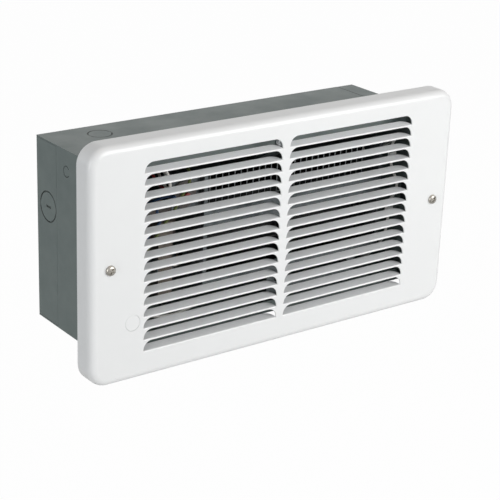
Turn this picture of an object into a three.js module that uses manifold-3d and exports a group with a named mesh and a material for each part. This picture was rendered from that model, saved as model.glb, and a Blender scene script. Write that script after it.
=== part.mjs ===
// Bathroom wall fan heater: a sheet-steel wall can, a cross-flow blower module inside it and a louvred cover.
//
// Units are millimetres. +X is to the right seen from the room, +Y goes into the wall and +Z is up.
// The origin is the middle of the can's back, on its outer face, so the room side is at negative Y.

import * as THREE from "three";
import { mergeVertices } from "three/addons/utils/BufferGeometryUtils.js";
import Module from "manifold-3d";

// Wall can
const CAN_WIDTH = 362.8;
const CAN_HEIGHT = 173.3;
const CAN_DEPTH = 107.5;
const CAN_SHEET = 1.2;
const CAN_LIP = 11.5; // return lip along the front of the top and the bottom
const BACK_FLANGE = 35.1; // the back sheet's flange on the left side
const BACK_INNER_FLANGE = 20; // the back sheet's flange inside the right end
const END_FLANGE = 19.5; // the right end's flanges on the top and the bottom
const SEAM_GAP = 0.3; // open line of a seam between two sheets
const LAP = 8; // joggled lap behind a flush seam

// Knockouts and lanced holes of the can
const LARGE_KNOCKOUT = 28.2;
const SMALL_KNOCKOUT = 22.2;
const NAIL_LANCE = 10.5;
const KNOCKOUT_SLIT = 0.7;
const KNOCKOUT_TAB = 5;
const PRY_SLOT = { length: 8.8, height: 2.2 };
const SIDE_KNOCKOUT_AT = { y: -19.8, z: 25 };
const TOP_KNOCKOUT_AT = { x: -131, y: -25 };
const NAIL_LANCE_AT = { y: -53, z: 67 };

// Louvred cover
const COVER_OVERLAP = 21.3; // how far the cover reaches past the can on the left and on the right
const COVER_HEIGHT = 217;
const COVER_DEPTH = 21.3;
const COVER_CORNER = 18.5;
const COVER_EDGE = 7; // soft radius between the face and the rim
const COVER_SHEET = 1.2;
const COVER_LIFT = 1.1; // the cover's middle above the can's
const SLOT_ROWS = 16;
const SLOT_PITCH = 10.9;
const SLOT_HEIGHT = 9.05;
const SLOT_MARGIN = 53.55; // plain sheet on the left and on the right of the louvres
const SLOT_CORNER = 8.4;
const CENTRE_BAR = 7.9;
const SLOT_FIELD_TOP = 89.8;
const LOUVRE_REACH = 10.2;
const LOUVRE_ROOT = { y: 0.2, z: -0.25 }; // where the louvre's bend starts, inside the sheet under its slot
const LOUVRE_ANGLE = THREE.MathUtils.degToRad(81.5);

// Cover screws, their brackets and the hole plug
const SCREW_BESIDE = 1.2; // the cover screws' axes beside the can's sides
const SCREW_RADIUS = 2;
const SCREW_HEAD = { radius: 4.65, height: 2.9, slot: 1.1, depth: 1.45, cross: 4.65 };
const HEAD_PROFILE = [[1, 0], [0.92, 0.55], [0.6, 0.87], [0.2, 1], [0, 1]]; // shares of the head's height and radius
const SCREW_LENGTH = 27;
const SCREW_CLEARANCE = 0.3;
const NOTCH_SPARE = 3;
const BRACKET_SHEET = 1.5;
const BRACKET_HEIGHT = 24;
const BRACKET_REACH = 9.5; // how far the bracket stands out beside the can
const BRACKET_FOOT = 20;
const PLUG_INSET = 42.5; // from the cover's left end
const PLUG_BELOW = 53.5; // below the cover's middle
const PLUG_RADIUS = 7.35;
const PLUG_FLANGE = 2.2;
const PLUG_CLEARANCE = 0.15;

// Blower module
const LEFT_ROOM = 115.4; // between the can's left side and the module
const RIGHT_ROOM = 38.4; // between the module and the can's right side
const MODULE_SETBACK = 11.5; // the front panel's rear face behind the can's front
const MODULE_TOP = 60;
const MODULE_SHEET = 1;
const PANEL_BOTTOM = -53;
const PANEL_MARGIN = 4; // sheet left beside the windows
const OUTLET = { bottom: 24, top: 57 };
const INTAKE = { bottom: -39, top: 1 };
const FIT = 0.3; // gap between pieces that lie against each other
const PAST = 1; // how far a cutter runs past what it cuts
const INTO = 0.5; // how far two forms of one piece run into each other
const FOOT = 10; // foot flange of a housing side

// Cross-flow wheel on its axis
const WHEEL_BEHIND = 39; // the axis behind the front panel
const AXIS_Z = -30;
const WHEEL_RADIUS = 25;
const WHEEL_END_GAP = 5; // between the wheel and each housing side
const BLADE_RING = 8; // width of the ring that the blades fill
const BLADE = { count: 24, chord: 6.9, sheet: 0.8, inset: 0.4, tilt: THREE.MathUtils.degToRad(35) };
const WHEEL_DISC = 1.2;
const HUB_RADIUS = 6;
const HUB_LENGTH = 9;
const SCROLL_GAP = { narrow: 4, wide: 10 };
const SCROLL_DEGREES = [-115, 10]; // about the axis, from straight back towards up
const SCROLL_CORNER = 14;
const SCROLL_STEPS = { spiral: 14, corner: 4 };
const TONGUE_GAP = 6;
const TONGUE_DEGREES = { knee: 123, tip: 109 };
const TONGUE_LAP = 3;
const TONGUE_RISE = 1;
const TURNING_CLEARANCE = 0.1; // all round a piece that turns or slides in its bore
const HELD_CLEARANCE = 0.05; // all round a pressed-on piece

// Shaded-pole motor
const SHAFT_RADIUS = 3;
const SHAFT_STICK_OUT = 4;
const SHAFT_HOLE = 7;
const STACK_BESIDE = 37; // the stack's left face beside the module
const STACK_THICKNESS = 15;
const STACK_DEPTH = 46; // along Y, centred on the shaft
const STACK_BELOW = 30; // below the shaft
const POLE_ABOVE = 17.5; // top of the pole block above the shaft
const COIL_WINDOW = 12.5; // between the pole block and the core
const CORE_HEIGHT = 13;
const STACK_LEG = 10;
const COIL_WALL = 8;
const BOBBIN_WALL = 1.5;
const ROTOR_RADIUS = 12;
const ROTOR_END_RING = { length: 3, step: 2 };
const AIR_GAP = 0.5;
const STRAP = { width: 16, sheet: 1.5, rise: 12, half: 13.5, foot: 9.5, slope: 4 };
const BEARING = { radius: 6, length: 8 };
const MOTOR_SCREW_RADIUS = 2;
const MOTOR_SCREW_HEAD = { radius: 3.8, height: 3, flatRadius: 2.85, sideHeight: 1.8 };
const MOTOR_SCREW_PROUD = 1; // inside the housing side
const SPACER_RADIUS = 4.2;

// Free-end bearing
const GROMMET_RADIUS = 10;
const GROMMET_GROOVE = 8.6;
const GROMMET_LENGTH = 8;
const PIN_LENGTH = 26;

// Finned heating element
const ELEMENT_Z = 40;
const PASSES_BEHIND = { front: 30, rear: 52 }; // behind the front panel
const SHEATH_RADIUS = 4;
const FIN = { pitch: 7, thickness: 0.8, height: 22, margin: 8, left: 36, right: 19 };
const RETURN_BEND_INSET = 22; // from the module's left side
const SHEATH_OUT = 8; // beyond the right housing side
const TERMINAL = { radius: 1.6, length: 10 };
const BUSHING = { radius: 7.5, neck: 5.8, flange: 5 };
const SUPPORT_INSET = 28; // from the module's left side

// Wire guard
const GUARD_BEHIND = 12; // behind the front panel
const GUARD_WIRE = 1.6;
const GUARD_PITCH = 6.9;
const GUARD_MARGIN = 8; // between the first upright wire and the module's left side

// Limit switch and its reset button
const LIMIT_BESIDE = 18; // the limit switch's axis beside the module
const LIMIT_BEHIND = 6; // its seat behind the front panel
const LIMIT_Z = 41;
const LIMIT = { radius: 11, depth: 12, flange: 13, rim: 2 };
const TERMINAL_BLADE = { length: 8, width: 6.2, sheet: 0.8, apart: 10 };
const LIMIT_PLATE = { width: 30, height: 30, sheet: 1, flange: 24 };
const BUTTON = { radius: 3, proud: 6, seated: 4, travel: 2, spare: 0.5, edge: 0.6 };

// Base angle on the floor of the can
const BASE_ANGLE = { left: 74, right: 29, below: 9, sheet: 1, foot: 26, ear: 9 }; // inside the module's ends

// Hanger between the can's top lip and the top of the module, and its screw
const HANGER = { width: 21, sheet: 1, seat: 14, below: 14, behind: 7 };
const MODULE_SCREW_X = 7.6;
const MODULE_SCREW_LENGTH = 9;

// Leads, their joints and the ground screw
const LEAD_RADIUS = 1.6;
const CONNECTOR = { length: 9, width: 6.4, depth: 5.2 };
const WIRE_NUT = { radius: 7, tip: 4.5, height: 24, bore: 9 };
const NUT_INSET = 21.4; // of the first wire nut's axis from the can's left side
const NUTS_APART = 18;
const NUTS_Y = -72;
const NUT_PAIR = 1.95; // half the distance between two leads in one wire nut
const GROUND_SCREW_INSET = 31.4; // from the can's left side
const GROUND_SCREW_Y = -45;
const GROUND_SCREW_LENGTH = 1.2; // ends flush with the can's bottom

// Routes of the leads, chosen by hand from what shows between the louvres
const ROUTES = {
  lead_red: [
    [-89, -69.6, 41], [-90, -60, 42], [-96, -58, 52], [-104, -74, 61], [-118, -92, 67], [-140, -95, 60],
    [-156, -92, 25], [-160, -82, -25], [-160, -73, -50], [-160, -72, -60], [-160, -72, -70],
  ],
  lead_blue: [
    [-113.7, -57, 6], [-119, -57, 7], [-121, -66, 20], [-108, -84, 38], [-98, -97, 43], [-107, -101, 41],
    [-117, -100, 37], [-116, -98, 30], [-112, -97, 25], [-124, -96, 10], [-140, -92, -18], [-144, -80, -42],
    [-143.95, -73, -53], [-143.95, -72, -61], [-143.95, -72, -70],
  ],
  lead_ground: [
    [-66.9, -40, 53], [-70, -40, 53], [-73, -56, 60], [-76, -86, 61], [-83, -98, 55], [-91, -98, 42], [-99, -97, 29],
    [-108, -96, 18], [-122, -90, -6], [-136, -70, -45], [-146, -48, -70], [-150, -45, -78], [-150, -45, -82],
  ],
  lead_white: [
    [-79, -69.6, 41], [-79, -61, 43], [-84, -54, 54], [-97, -72, 53], [-103, -96, 51], [-106, -101, 60],
    [-109, -98, 71], [-104, -76, 78], [-80, -40, 74], [-40, -14, 68], [40, -10, 68], [120, -10, 68],
    [160, -16, 62], [172, -30, 48], [171, -42, 41], [163, -44, 40], [161.4, -44, 40],
  ],
  lead_element: [[161.4, -66, 40], [168, -67, 41], [170, -80, 50], [162, -93, 57], [155, -97, 53], [155, -97, 43]],
  lead_link: [
    [155, -97, 39], [155, -97, 33], [161, -95, 22], [167, -94, 9], [163, -95, 0], [157, -96.8, -5],
    [156, -97, -8.5], [156, -97, -12],
  ],
  lead_return: [
    [156, -97, -14], [156, -97, -18], [156, -96, -26], [158, -88, -48], [152, -70, -72], [120, -62, -79],
    [40, -70, -78], [-40, -70, -78], [-100, -84, -76], [-126, -88, -64], [-136, -82, -50],
    [-140.05, -74, -50], [-140.05, -72, -60], [-140.05, -72, -70],
  ],
};
const LEAD_STEPS = {
  lead_red: 34,
  lead_blue: 44,
  lead_ground: 36,
  lead_white: 54,
  lead_element: 14,
  lead_link: 16,
  lead_return: 50,
};

// Places that follow from the sizes
const QUARTER = Math.PI / 2;
const HALF_WIDTH = CAN_WIDTH / 2;
const HALF_HEIGHT = CAN_HEIGHT / 2;
const FLOOR = -HALF_HEIGHT + CAN_SHEET;
const SEAM_X = HALF_WIDTH - END_FLANGE;
const FACE_Y = -(CAN_DEPTH + COVER_DEPTH);
const COVER_WIDTH = CAN_WIDTH + 2 * COVER_OVERLAP;
const SLOT_LENGTH = COVER_WIDTH / 2 - SLOT_MARGIN - CENTRE_BAR / 2;
const SCREW_X = HALF_WIDTH + SCREW_BESIDE;
const SCREW_HOLE = SCREW_RADIUS + SCREW_CLEARANCE;
const PLUG_AT = { x: -COVER_WIDTH / 2 + PLUG_INSET, z: -PLUG_BELOW };
const MODULE_LEFT = -HALF_WIDTH + LEFT_ROOM;
const MODULE_RIGHT = HALF_WIDTH - RIGHT_ROOM;
const MODULE_FRONT = -CAN_DEPTH + MODULE_SETBACK; // rear face of the front panel
const MODULE_SCREW_Z = HALF_HEIGHT - CAN_LIP / 2 - CAN_SHEET / 2;
const AXIS_Y = MODULE_FRONT + WHEEL_BEHIND;
const PASSES = { front: MODULE_FRONT + PASSES_BEHIND.front, rear: MODULE_FRONT + PASSES_BEHIND.rear };
const RETURN_BEND_AT = MODULE_LEFT + RETURN_BEND_INSET;
const SUPPORT_AT = MODULE_LEFT + SUPPORT_INSET;
const GUARD_Y = MODULE_FRONT + GUARD_BEHIND;
const LIMIT_AT = { x: MODULE_LEFT - LIMIT_BESIDE, y: MODULE_FRONT + LIMIT_BEHIND, z: LIMIT_Z };
const STACK_LEFT = MODULE_LEFT - STACK_BESIDE;
const NUT_LINE_X = -HALF_WIDTH + NUT_INSET;
const NUT_NEUTRAL_X = NUT_LINE_X + NUTS_APART;
const GROUND_SCREW_X = -HALF_WIDTH + GROUND_SCREW_INSET;
const INNER_LEFT = MODULE_LEFT + MODULE_SHEET + FIT;
const INNER_RIGHT = MODULE_RIGHT - MODULE_SHEET - FIT;
const WHEEL_LEFT = MODULE_LEFT + MODULE_SHEET + WHEEL_END_GAP;
const WHEEL_RIGHT = MODULE_RIGHT - MODULE_SHEET - WHEEL_END_GAP;
const STACK_RIGHT = STACK_LEFT + STACK_THICKNESS;
const CORE_Z = [POLE_ABOVE + COIL_WINDOW, POLE_ABOVE + COIL_WINDOW + CORE_HEIGHT]; // above the shaft
const COIL_SPACE = STACK_DEPTH - 2 * STACK_LEG - 2 * FIT;
const MOTOR_SCREW_OUT = STRAP.half + STRAP.foot / 2;
const MOTOR_SCREW_HOLE = MOTOR_SCREW_RADIUS + SCREW_CLEARANCE;

function paint(color, roughness, metalness = 0) {
  return new THREE.MeshStandardMaterial({ color, roughness, metalness });
}
const FINISH = {
  whiteEnamel: paint("#eceded", 0.35),
  greyPaint: paint("#6f7a7b", 0.5, 0.2),
  galvanised: paint("#9aa1a3", 0.45, 0.7),
  nickel: paint("#c9c4b6", 0.25, 0.9),
  blackSteel: paint("#17181a", 0.5, 0.5),
  laminations: paint("#77716a", 0.55, 0.6),
  copper: paint("#9a5a34", 0.4, 0.7),
  nylon: paint("#e7e5dd", 0.5),
  rubber: paint("#1d1d1e", 0.8),
  ceramic: paint("#eeebe2", 0.3),
  phenolic: paint("#2a2320", 0.5),
  red: paint("#b3201c", 0.45),
  blue: paint("#24407f", 0.45),
  white: paint("#e8e6e0", 0.45),
  greenYellow: paint("#7f9a2d", 0.45),
  bronze: paint("#a77c3f", 0.4, 0.8),
};

const wasm = await Module();
wasm.setup();

// A closed geometry as a solid that can be joined and cut.
function solid(geometry) {
  const bare = geometry.index ? geometry.toNonIndexed() : geometry.clone();
  bare.deleteAttribute("normal");
  bare.deleteAttribute("uv");
  const merged = mergeVertices(bare, 1e-4);
  const corners = merged.index.array;
  const faces = [];
  for (let i = 0; i < corners.length; i += 3) {
    const face = corners.slice(i, i + 3);
    if (new Set(face).size === 3) faces.push(...face);
  }
  return new wasm.Manifold(
    new wasm.Mesh({
      numProp: 3,
      vertProperties: merged.attributes.position.array,
      triVerts: new Uint32Array(faces),
    }),
  );
}

const join = (first, ...others) => others.reduce((sum, other) => sum.add(other), first);
const cut = (first, ...others) => others.reduce((rest, other) => rest.subtract(other), first);

// A solid turned about the origin, then moved.
function placed(body, at, turn = [0, 0, 0]) {
  const { vertProperties, triVerts } = body.getMesh();
  const corners = new THREE.BufferAttribute(vertProperties, 3);
  corners.applyMatrix4(new THREE.Matrix4().makeRotationFromEuler(new THREE.Euler(...turn)).setPosition(...at));
  return new wasm.Manifold(new wasm.Mesh({ numProp: 3, vertProperties: corners.array, triVerts }));
}

// A solid as a named mesh.
function piece(name, body, material) {
  const { vertProperties, triVerts } = body.getMesh();
  const geometry = new THREE.BufferGeometry();
  geometry.setAttribute("position", new THREE.BufferAttribute(vertProperties, 3));
  geometry.setIndex(new THREE.BufferAttribute(triVerts, 1));
  geometry.computeVertexNormals();
  const mesh = new THREE.Mesh(geometry, material);
  mesh.name = name;
  return mesh;
}

function groupAt(x, y, z, ...children) {
  const group = new THREE.Group();
  group.position.set(x, y, z);
  group.add(...children);
  return group;
}

// Two places on an axis, the lower one first.
const span = (a, b) => [Math.min(a, b), Math.max(a, b)];

// A box between two places along each axis.
function block([x0, x1], [y0, y1], [z0, z1]) {
  const box = new THREE.BoxGeometry(x1 - x0, y1 - y0, z1 - z0);
  return solid(box.translate((x0 + x1) / 2, (y0 + y1) / 2, (z0 + z1) / 2));
}

// A round bar along one axis, between two places on it. Its other two places are given in the order of X, Y, Z.
function rod(axis, radius, [from, to], [a, b] = [0, 0], sides = 24) {
  const bar = new THREE.CylinderGeometry(radius, radius, to - from, sides);
  const middle = (from + to) / 2;
  if (axis === "x") return solid(bar.rotateZ(-QUARTER).translate(middle, a, b));
  if (axis === "y") return solid(bar.translate(a, middle, b));
  return solid(bar.rotateX(QUARTER).translate(a, b, middle));
}

// A turned piece on the X axis: pairs of [along X, radius], starting and ending on the axis or closed on itself.
function turnedOnX(profile, sides = 24) {
  const points = profile.map(([x, radius]) => new THREE.Vector2(radius, x));
  return solid(new THREE.LatheGeometry(points, sides).rotateZ(-QUARTER));
}

// A turned piece on the Y axis: pairs of [along Y, radius].
function turnedOnY(profile, sides = 24) {
  const points = profile.map(([y, radius]) => new THREE.Vector2(radius, y));
  return solid(new THREE.LatheGeometry(points, sides));
}

// An outline in X and Z made thick along Y, or one in Y and Z made thick along X.
function plateAlongY(outline, [y0, y1], curveSegments = 6) {
  const slab = new THREE.ExtrudeGeometry(outline, { depth: y1 - y0, bevelEnabled: false, curveSegments });
  return solid(slab.rotateX(QUARTER).translate(0, y1, 0));
}
function plateAlongX(outline, [x0, x1], curveSegments = 6) {
  const slab = new THREE.ExtrudeGeometry(outline, { depth: x1 - x0, bevelEnabled: false, curveSegments });
  const turn = new THREE.Matrix4().makeBasis(
    new THREE.Vector3(0, 1, 0),
    new THREE.Vector3(0, 0, 1),
    new THREE.Vector3(1, 0, 0),
  );
  return solid(slab.applyMatrix4(turn).translate(x0, 0, 0));
}

const outlineOf = (points) => new THREE.Shape(points.map(([a, b]) => new THREE.Vector2(a, b)));

function roundedRectangle(width, height, radius) {
  const [w, h] = [width / 2 - radius, height / 2 - radius];
  const shape = new THREE.Shape();
  shape.absarc(w, h, radius, 0, QUARTER);
  shape.absarc(-w, h, radius, QUARTER, 2 * QUARTER);
  shape.absarc(-w, -h, radius, 2 * QUARTER, 3 * QUARTER);
  shape.absarc(w, -h, radius, 3 * QUARTER, 4 * QUARTER);
  return shape;
}

// The outline of a bent sheet: a centre line with half the sheet on each side of it.
const SHARPEST_BEND = Math.cos(THREE.MathUtils.degToRad(60)); // its mitre is cut off beyond this
function bentSheet(line, sheet) {
  const points = line.map(([a, b]) => new THREE.Vector2(a, b));
  const sideOf = (i) => {
    const before = points[Math.max(i - 1, 0)];
    const after = points[Math.min(i + 1, points.length - 1)];
    const into = (i ? points[i].clone().sub(before) : after.clone().sub(points[i])).normalize();
    const out = (i < points.length - 1 ? after.clone().sub(points[i]) : into.clone()).normalize();
    const mid = into.clone().add(out).normalize();
    const stretch = 1 / Math.max(mid.dot(into), SHARPEST_BEND);
    return new THREE.Vector2(-mid.y, mid.x).multiplyScalar((sheet / 2) * stretch);
  };
  const left = points.map((p, i) => p.clone().add(sideOf(i)));
  const right = points.map((p, i) => p.clone().sub(sideOf(i)));
  return new THREE.Shape([...right, ...left.reverse()]);
}

// The open ring of a knockout, as a cutter along Y: two arcs, parted by the tabs that hold the disc.
function knockoutSlit(diameter, tabs = 2) {
  const through = 2 * CAN_SHEET;
  const past = [-2 * through, 2 * through];
  const half = KNOCKOUT_TAB / 2;
  return cut(
    rod("y", diameter / 2, [-through, through]),
    rod("y", diameter / 2 - KNOCKOUT_SLIT, past),
    block([-diameter, tabs > 1 ? diameter : 0], past, [-half, half]),
  );
}

// The notch in the front edge of one of the can's sides, where a cover screw passes.
function screwNotch(side) {
  const x = span(side * (HALF_WIDTH - 2 * CAN_SHEET), side * (HALF_WIDTH + PAST));
  const depth = SCREW_LENGTH - COVER_DEPTH + NOTCH_SPARE;
  const half = 2 * SCREW_RADIUS;
  return block(x, [-CAN_DEPTH - PAST, -CAN_DEPTH + depth], [COVER_LIFT - half, COVER_LIFT + half]);
}

// The can's left side, top and bottom: one sheet, folded twice, with a lip along the front of the top and bottom.
function canBody() {
  const seamY = -BACK_FLANGE - SEAM_GAP;
  const seamX = SEAM_X - SEAM_GAP;
  const inner = -HALF_WIDTH + CAN_SHEET;
  const side = block([-HALF_WIDTH, inner], [-CAN_DEPTH, seamY], [-HALF_HEIGHT, HALF_HEIGHT]);
  const lapX = [inner + SEAM_GAP, inner + SEAM_GAP + CAN_SHEET];
  const sideLap = join(
    block([inner - CAN_SHEET / 2, lapX[1]], [seamY - LAP, seamY - LAP / 2], [FLOOR, -FLOOR]),
    block(lapX, [seamY - LAP, seamY + LAP], [FLOOR, -FLOOR]),
  );
  const lanceAt = [-HALF_WIDTH, NAIL_LANCE_AT.y, NAIL_LANCE_AT.z];
  const lance = placed(knockoutSlit(NAIL_LANCE, 1), lanceAt, [0, 0, QUARTER]);
  const knockoutAt = [TOP_KNOCKOUT_AT.x, TOP_KNOCKOUT_AT.y, HALF_HEIGHT];
  const topKnockout = placed(knockoutSlit(SMALL_KNOCKOUT), knockoutAt, [QUARTER, 0, 0]);
  const leaf = (up) => {
    const outside = up * HALF_HEIGHT;
    const inside = -up * FLOOR;
    const under = inside - up * SEAM_GAP;
    const lapFoot = under - up * CAN_SHEET;
    const lapY = [-CAN_DEPTH + LAP, -LAP];
    return join(
      block([-HALF_WIDTH, seamX], [-CAN_DEPTH, 0], span(outside, inside)),
      block([inner + CAN_SHEET, seamX], [-CAN_DEPTH, -CAN_DEPTH + CAN_SHEET], span(outside, outside - up * CAN_LIP)),
      block([seamX - LAP, seamX - LAP / 2], lapY, span(inside + (up * CAN_SHEET) / 2, lapFoot)),
      block([seamX - LAP, seamX + LAP], lapY, span(under, lapFoot)),
    );
  };
  const lipScrew = rod("y", SCREW_HOLE, [-CAN_DEPTH - PAST, -CAN_DEPTH + CAN_LIP], [MODULE_SCREW_X, MODULE_SCREW_Z]);
  const groundHole = rod("z", SCREW_HOLE, [-HALF_HEIGHT - PAST, FLOOR + PAST], [GROUND_SCREW_X, GROUND_SCREW_Y]);
  return cut(join(side, sideLap, leaf(1), leaf(-1)), screwNotch(-1), lance, topKnockout, lipScrew, groundHole);
}

// The right end, with flanges that lie flush with the top and the bottom.
function canRightEnd() {
  const side = block([HALF_WIDTH - CAN_SHEET, HALF_WIDTH], [-CAN_DEPTH, 0], [-HALF_HEIGHT, HALF_HEIGHT]);
  const flange = (z) => block([SEAM_X, HALF_WIDTH], [-CAN_DEPTH, 0], z);
  return cut(join(side, flange([-FLOOR, HALF_HEIGHT]), flange([-HALF_HEIGHT, FLOOR])), screwNotch(1));
}

// The back, with a wide flange round the left corner and a narrow one inside the right end.
function canBack() {
  const z = [FLOOR + SEAM_GAP, -FLOOR - SEAM_GAP];
  const rightInner = HALF_WIDTH - CAN_SHEET - SEAM_GAP;
  const sheet = block([-HALF_WIDTH, rightInner], [-CAN_SHEET, 0], z);
  const flange = block([-HALF_WIDTH, -HALF_WIDTH + CAN_SHEET], [-BACK_FLANGE, 0], z);
  const innerX = [rightInner - CAN_SHEET, rightInner];
  const innerFlange = block(innerX, [-BACK_INNER_FLANGE, 0], [FLOOR + LAP, -FLOOR - LAP]);
  const slitAt = [-HALF_WIDTH, SIDE_KNOCKOUT_AT.y, SIDE_KNOCKOUT_AT.z];
  const slit = placed(knockoutSlit(LARGE_KNOCKOUT), slitAt, [0, 0, QUARTER]);
  const { length, height } = PRY_SLOT;
  const pry = block(
    [-HALF_WIDTH - PAST, -HALF_WIDTH + CAN_SHEET + PAST],
    [SIDE_KNOCKOUT_AT.y - length / 2, SIDE_KNOCKOUT_AT.y + length / 2],
    [SIDE_KNOCKOUT_AT.z - height / 2, SIDE_KNOCKOUT_AT.z + height / 2],
  );
  return cut(join(sheet, flange, innerFlange), slit, pry);
}

// A tab in front of the can's side, bent from a foot on the side's inner face. It takes a cover screw.
function grilleBracket(side) {
  const beside = (a, b) => span(side * a, side * b);
  const outer = HALF_WIDTH - CAN_SHEET;
  const inner = outer - BRACKET_SHEET;
  const front = -CAN_DEPTH - BRACKET_SHEET;
  const rear = -CAN_DEPTH + BRACKET_FOOT;
  const z = [COVER_LIFT - BRACKET_HEIGHT / 2, COVER_LIFT + BRACKET_HEIGHT / 2];
  const foot = block(beside(inner, outer), [front, rear], z);
  const tab = block(beside(inner, HALF_WIDTH + BRACKET_REACH), [front, -CAN_DEPTH], z);
  const hole = rod("y", SCREW_HOLE, [front - PAST, -CAN_DEPTH + PAST], [side * SCREW_X, COVER_LIFT]);
  const reliefZ = [COVER_LIFT - SCREW_HOLE, COVER_LIFT + SCREW_HOLE];
  const relief = block(beside(SCREW_X - SCREW_HOLE, SCREW_X), [-CAN_DEPTH, rear + PAST], reliefZ);
  return cut(join(foot, tab), hole, relief);
}

// The dished cover's outer or inner form: a rounded rectangle with a soft front edge, its face at y = inset.
function dish(inset) {
  const edge = COVER_EDGE - inset;
  const outline = roundedRectangle(COVER_WIDTH - 2 * inset, COVER_HEIGHT - 2 * inset, COVER_CORNER - inset);
  const form = new THREE.ExtrudeGeometry(outline, {
    depth: COVER_DEPTH + edge,
    bevelThickness: edge,
    bevelSize: edge,
    bevelOffset: -edge,
    bevelSegments: 3,
    curveSegments: 6,
  });
  return solid(form.rotateX(QUARTER).translate(0, COVER_DEPTH + 2 * edge + inset, 0));
}

// One louvre slot: a straight foot and two large round upper corners. Its lower left corner is at 0, 0.
function slotOutline(length, height, corner) {
  const shape = new THREE.Shape();
  shape.moveTo(0, 0);
  shape.lineTo(length, 0);
  shape.absarc(length - corner, height - corner, corner, 0, QUARTER);
  shape.absarc(corner, height - corner, corner, QUARTER, 2 * QUARTER);
  return shape;
}

// The cover in its own frame: face at y = 0, rim towards +Y. Each louvre is bent in from its slot's lower edge.
function grilleCover() {
  const shell = cut(
    dish(0),
    dish(COVER_SHEET),
    block([-COVER_WIDTH, COVER_WIDTH], [COVER_DEPTH, 3 * COVER_DEPTH], [-COVER_HEIGHT, COVER_HEIGHT]),
  );
  const through = [-PAST, COVER_SHEET + PAST];
  const slot = plateAlongY(slotOutline(SLOT_LENGTH, SLOT_HEIGHT, SLOT_CORNER), through, 3);
  const louvreOutline = slotOutline(SLOT_LENGTH - 2 * FIT, LOUVRE_REACH, SLOT_CORNER);
  const louvre = plateAlongY(louvreOutline, [0, COVER_SHEET], 3);
  const slots = [];
  const louvres = [];
  for (let row = 0; row < SLOT_ROWS; row += 1) {
    for (const x of [-CENTRE_BAR / 2 - SLOT_LENGTH, CENTRE_BAR / 2]) {
      const z = SLOT_FIELD_TOP - SLOT_HEIGHT - row * SLOT_PITCH;
      slots.push(placed(slot, [x, 0, z]));
      louvres.push(placed(louvre, [x + FIT, LOUVRE_ROOT.y, z + LOUVRE_ROOT.z], [-LOUVRE_ANGLE, 0, 0]));
    }
  }
  const screwHoles = [-1, 1].map((side) => rod("y", SCREW_HOLE, through, [side * SCREW_X, 0]));
  const plugHole = rod("y", PLUG_RADIUS + PLUG_CLEARANCE, through, [PLUG_AT.x, PLUG_AT.z]);
  return join(cut(shell, join(...slots), ...screwHoles, plugHole), join(...louvres));
}

// A pan-head screw along +Y, its head's seat at y = 0, with a slot and a cross recess.
function panHeadScrew(length) {
  const { radius, height, slot, depth, cross } = SCREW_HEAD;
  const form = turnedOnY([
    ...HEAD_PROFILE.map(([up, out]) => [-up * height, out * radius]),
    [0, SCREW_RADIUS],
    [length - SCREW_RADIUS, SCREW_RADIUS],
    [length, 0],
  ]);
  const recess = [-height - PAST, -height + depth];
  return cut(
    form,
    block([-radius - PAST, radius + PAST], recess, [-slot / 2, slot / 2]),
    block([-slot / 2, slot / 2], recess, [-cross / 2, cross / 2]),
  );
}

// A flush disc with a flange behind the cover's sheet.
function holePlug() {
  const flange = PLUG_RADIUS + PLUG_FLANGE;
  return turnedOnY([
    [0, 0],
    [0, PLUG_RADIUS],
    [COVER_SHEET, PLUG_RADIUS],
    [COVER_SHEET, flange],
    [2 * COVER_SHEET, flange],
    [2 * COVER_SHEET, 0],
  ]);
}

// The panel behind the louvres, with the outlet window above and the intake window below.
function frontPanel() {
  const y = [MODULE_FRONT - MODULE_SHEET, MODULE_FRONT];
  const cutY = [y[0] - PAST, y[1] + PAST];
  const windowX = [MODULE_LEFT + PANEL_MARGIN, MODULE_RIGHT - PANEL_MARGIN];
  return cut(
    block([MODULE_LEFT, MODULE_RIGHT], y, [PANEL_BOTTOM, MODULE_TOP]),
    block(windowX, cutY, [OUTLET.bottom, OUTLET.top]),
    block(windowX, cutY, [INTAKE.bottom, INTAKE.top]),
  );
}

// One end wall of the blower housing, standing on a foot flange on the can's floor. The foot points outwards.
function housingSide(side) {
  const x = side < 0 ? [MODULE_LEFT, MODULE_LEFT + MODULE_SHEET] : [MODULE_RIGHT - MODULE_SHEET, MODULE_RIGHT];
  const back = -CAN_SHEET - FIT;
  const legFront = AXIS_Y + WHEEL_RADIUS / 2;
  const wall = plateAlongX(
    outlineOf([
      [MODULE_FRONT, PANEL_BOTTOM],
      [AXIS_Y - WHEEL_RADIUS / 2, PANEL_BOTTOM - LAP],
      [legFront, PANEL_BOTTOM - LAP],
      [legFront, FLOOR],
      [back, FLOOR],
      [back, MODULE_TOP],
      [MODULE_FRONT, MODULE_TOP],
    ]),
    x,
  );
  const footX = side < 0 ? [x[0] - FOOT, x[1]] : [x[0], x[1] + FOOT];
  return join(wall, block(footX, [legFront, back], [FLOOR, FLOOR + MODULE_SHEET]));
}

function housingSideLeft() {
  const through = [MODULE_LEFT - PAST, MODULE_LEFT + MODULE_SHEET + PAST];
  const motorScrewHoles = [-MOTOR_SCREW_OUT, MOTOR_SCREW_OUT].map((out) =>
    rod("x", MOTOR_SCREW_HOLE, through, [AXIS_Y + out, AXIS_Z]),
  );
  const shaftHole = rod("x", SHAFT_HOLE, through, [AXIS_Y, AXIS_Z]);
  return cut(housingSide(-1), shaftHole, ...motorScrewHoles);
}

function housingSideRight() {
  const through = [MODULE_RIGHT - MODULE_SHEET - PAST, MODULE_RIGHT + PAST];
  const bearingHole = rod("x", GROMMET_GROOVE + FIT, through, [AXIS_Y, AXIS_Z]);
  const bushingHoles = Object.values(PASSES).map((y) => rod("x", BUSHING.neck + FIT, through, [y, ELEMENT_Z]));
  return cut(housingSide(1), bearingHole, ...bushingHoles);
}

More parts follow.
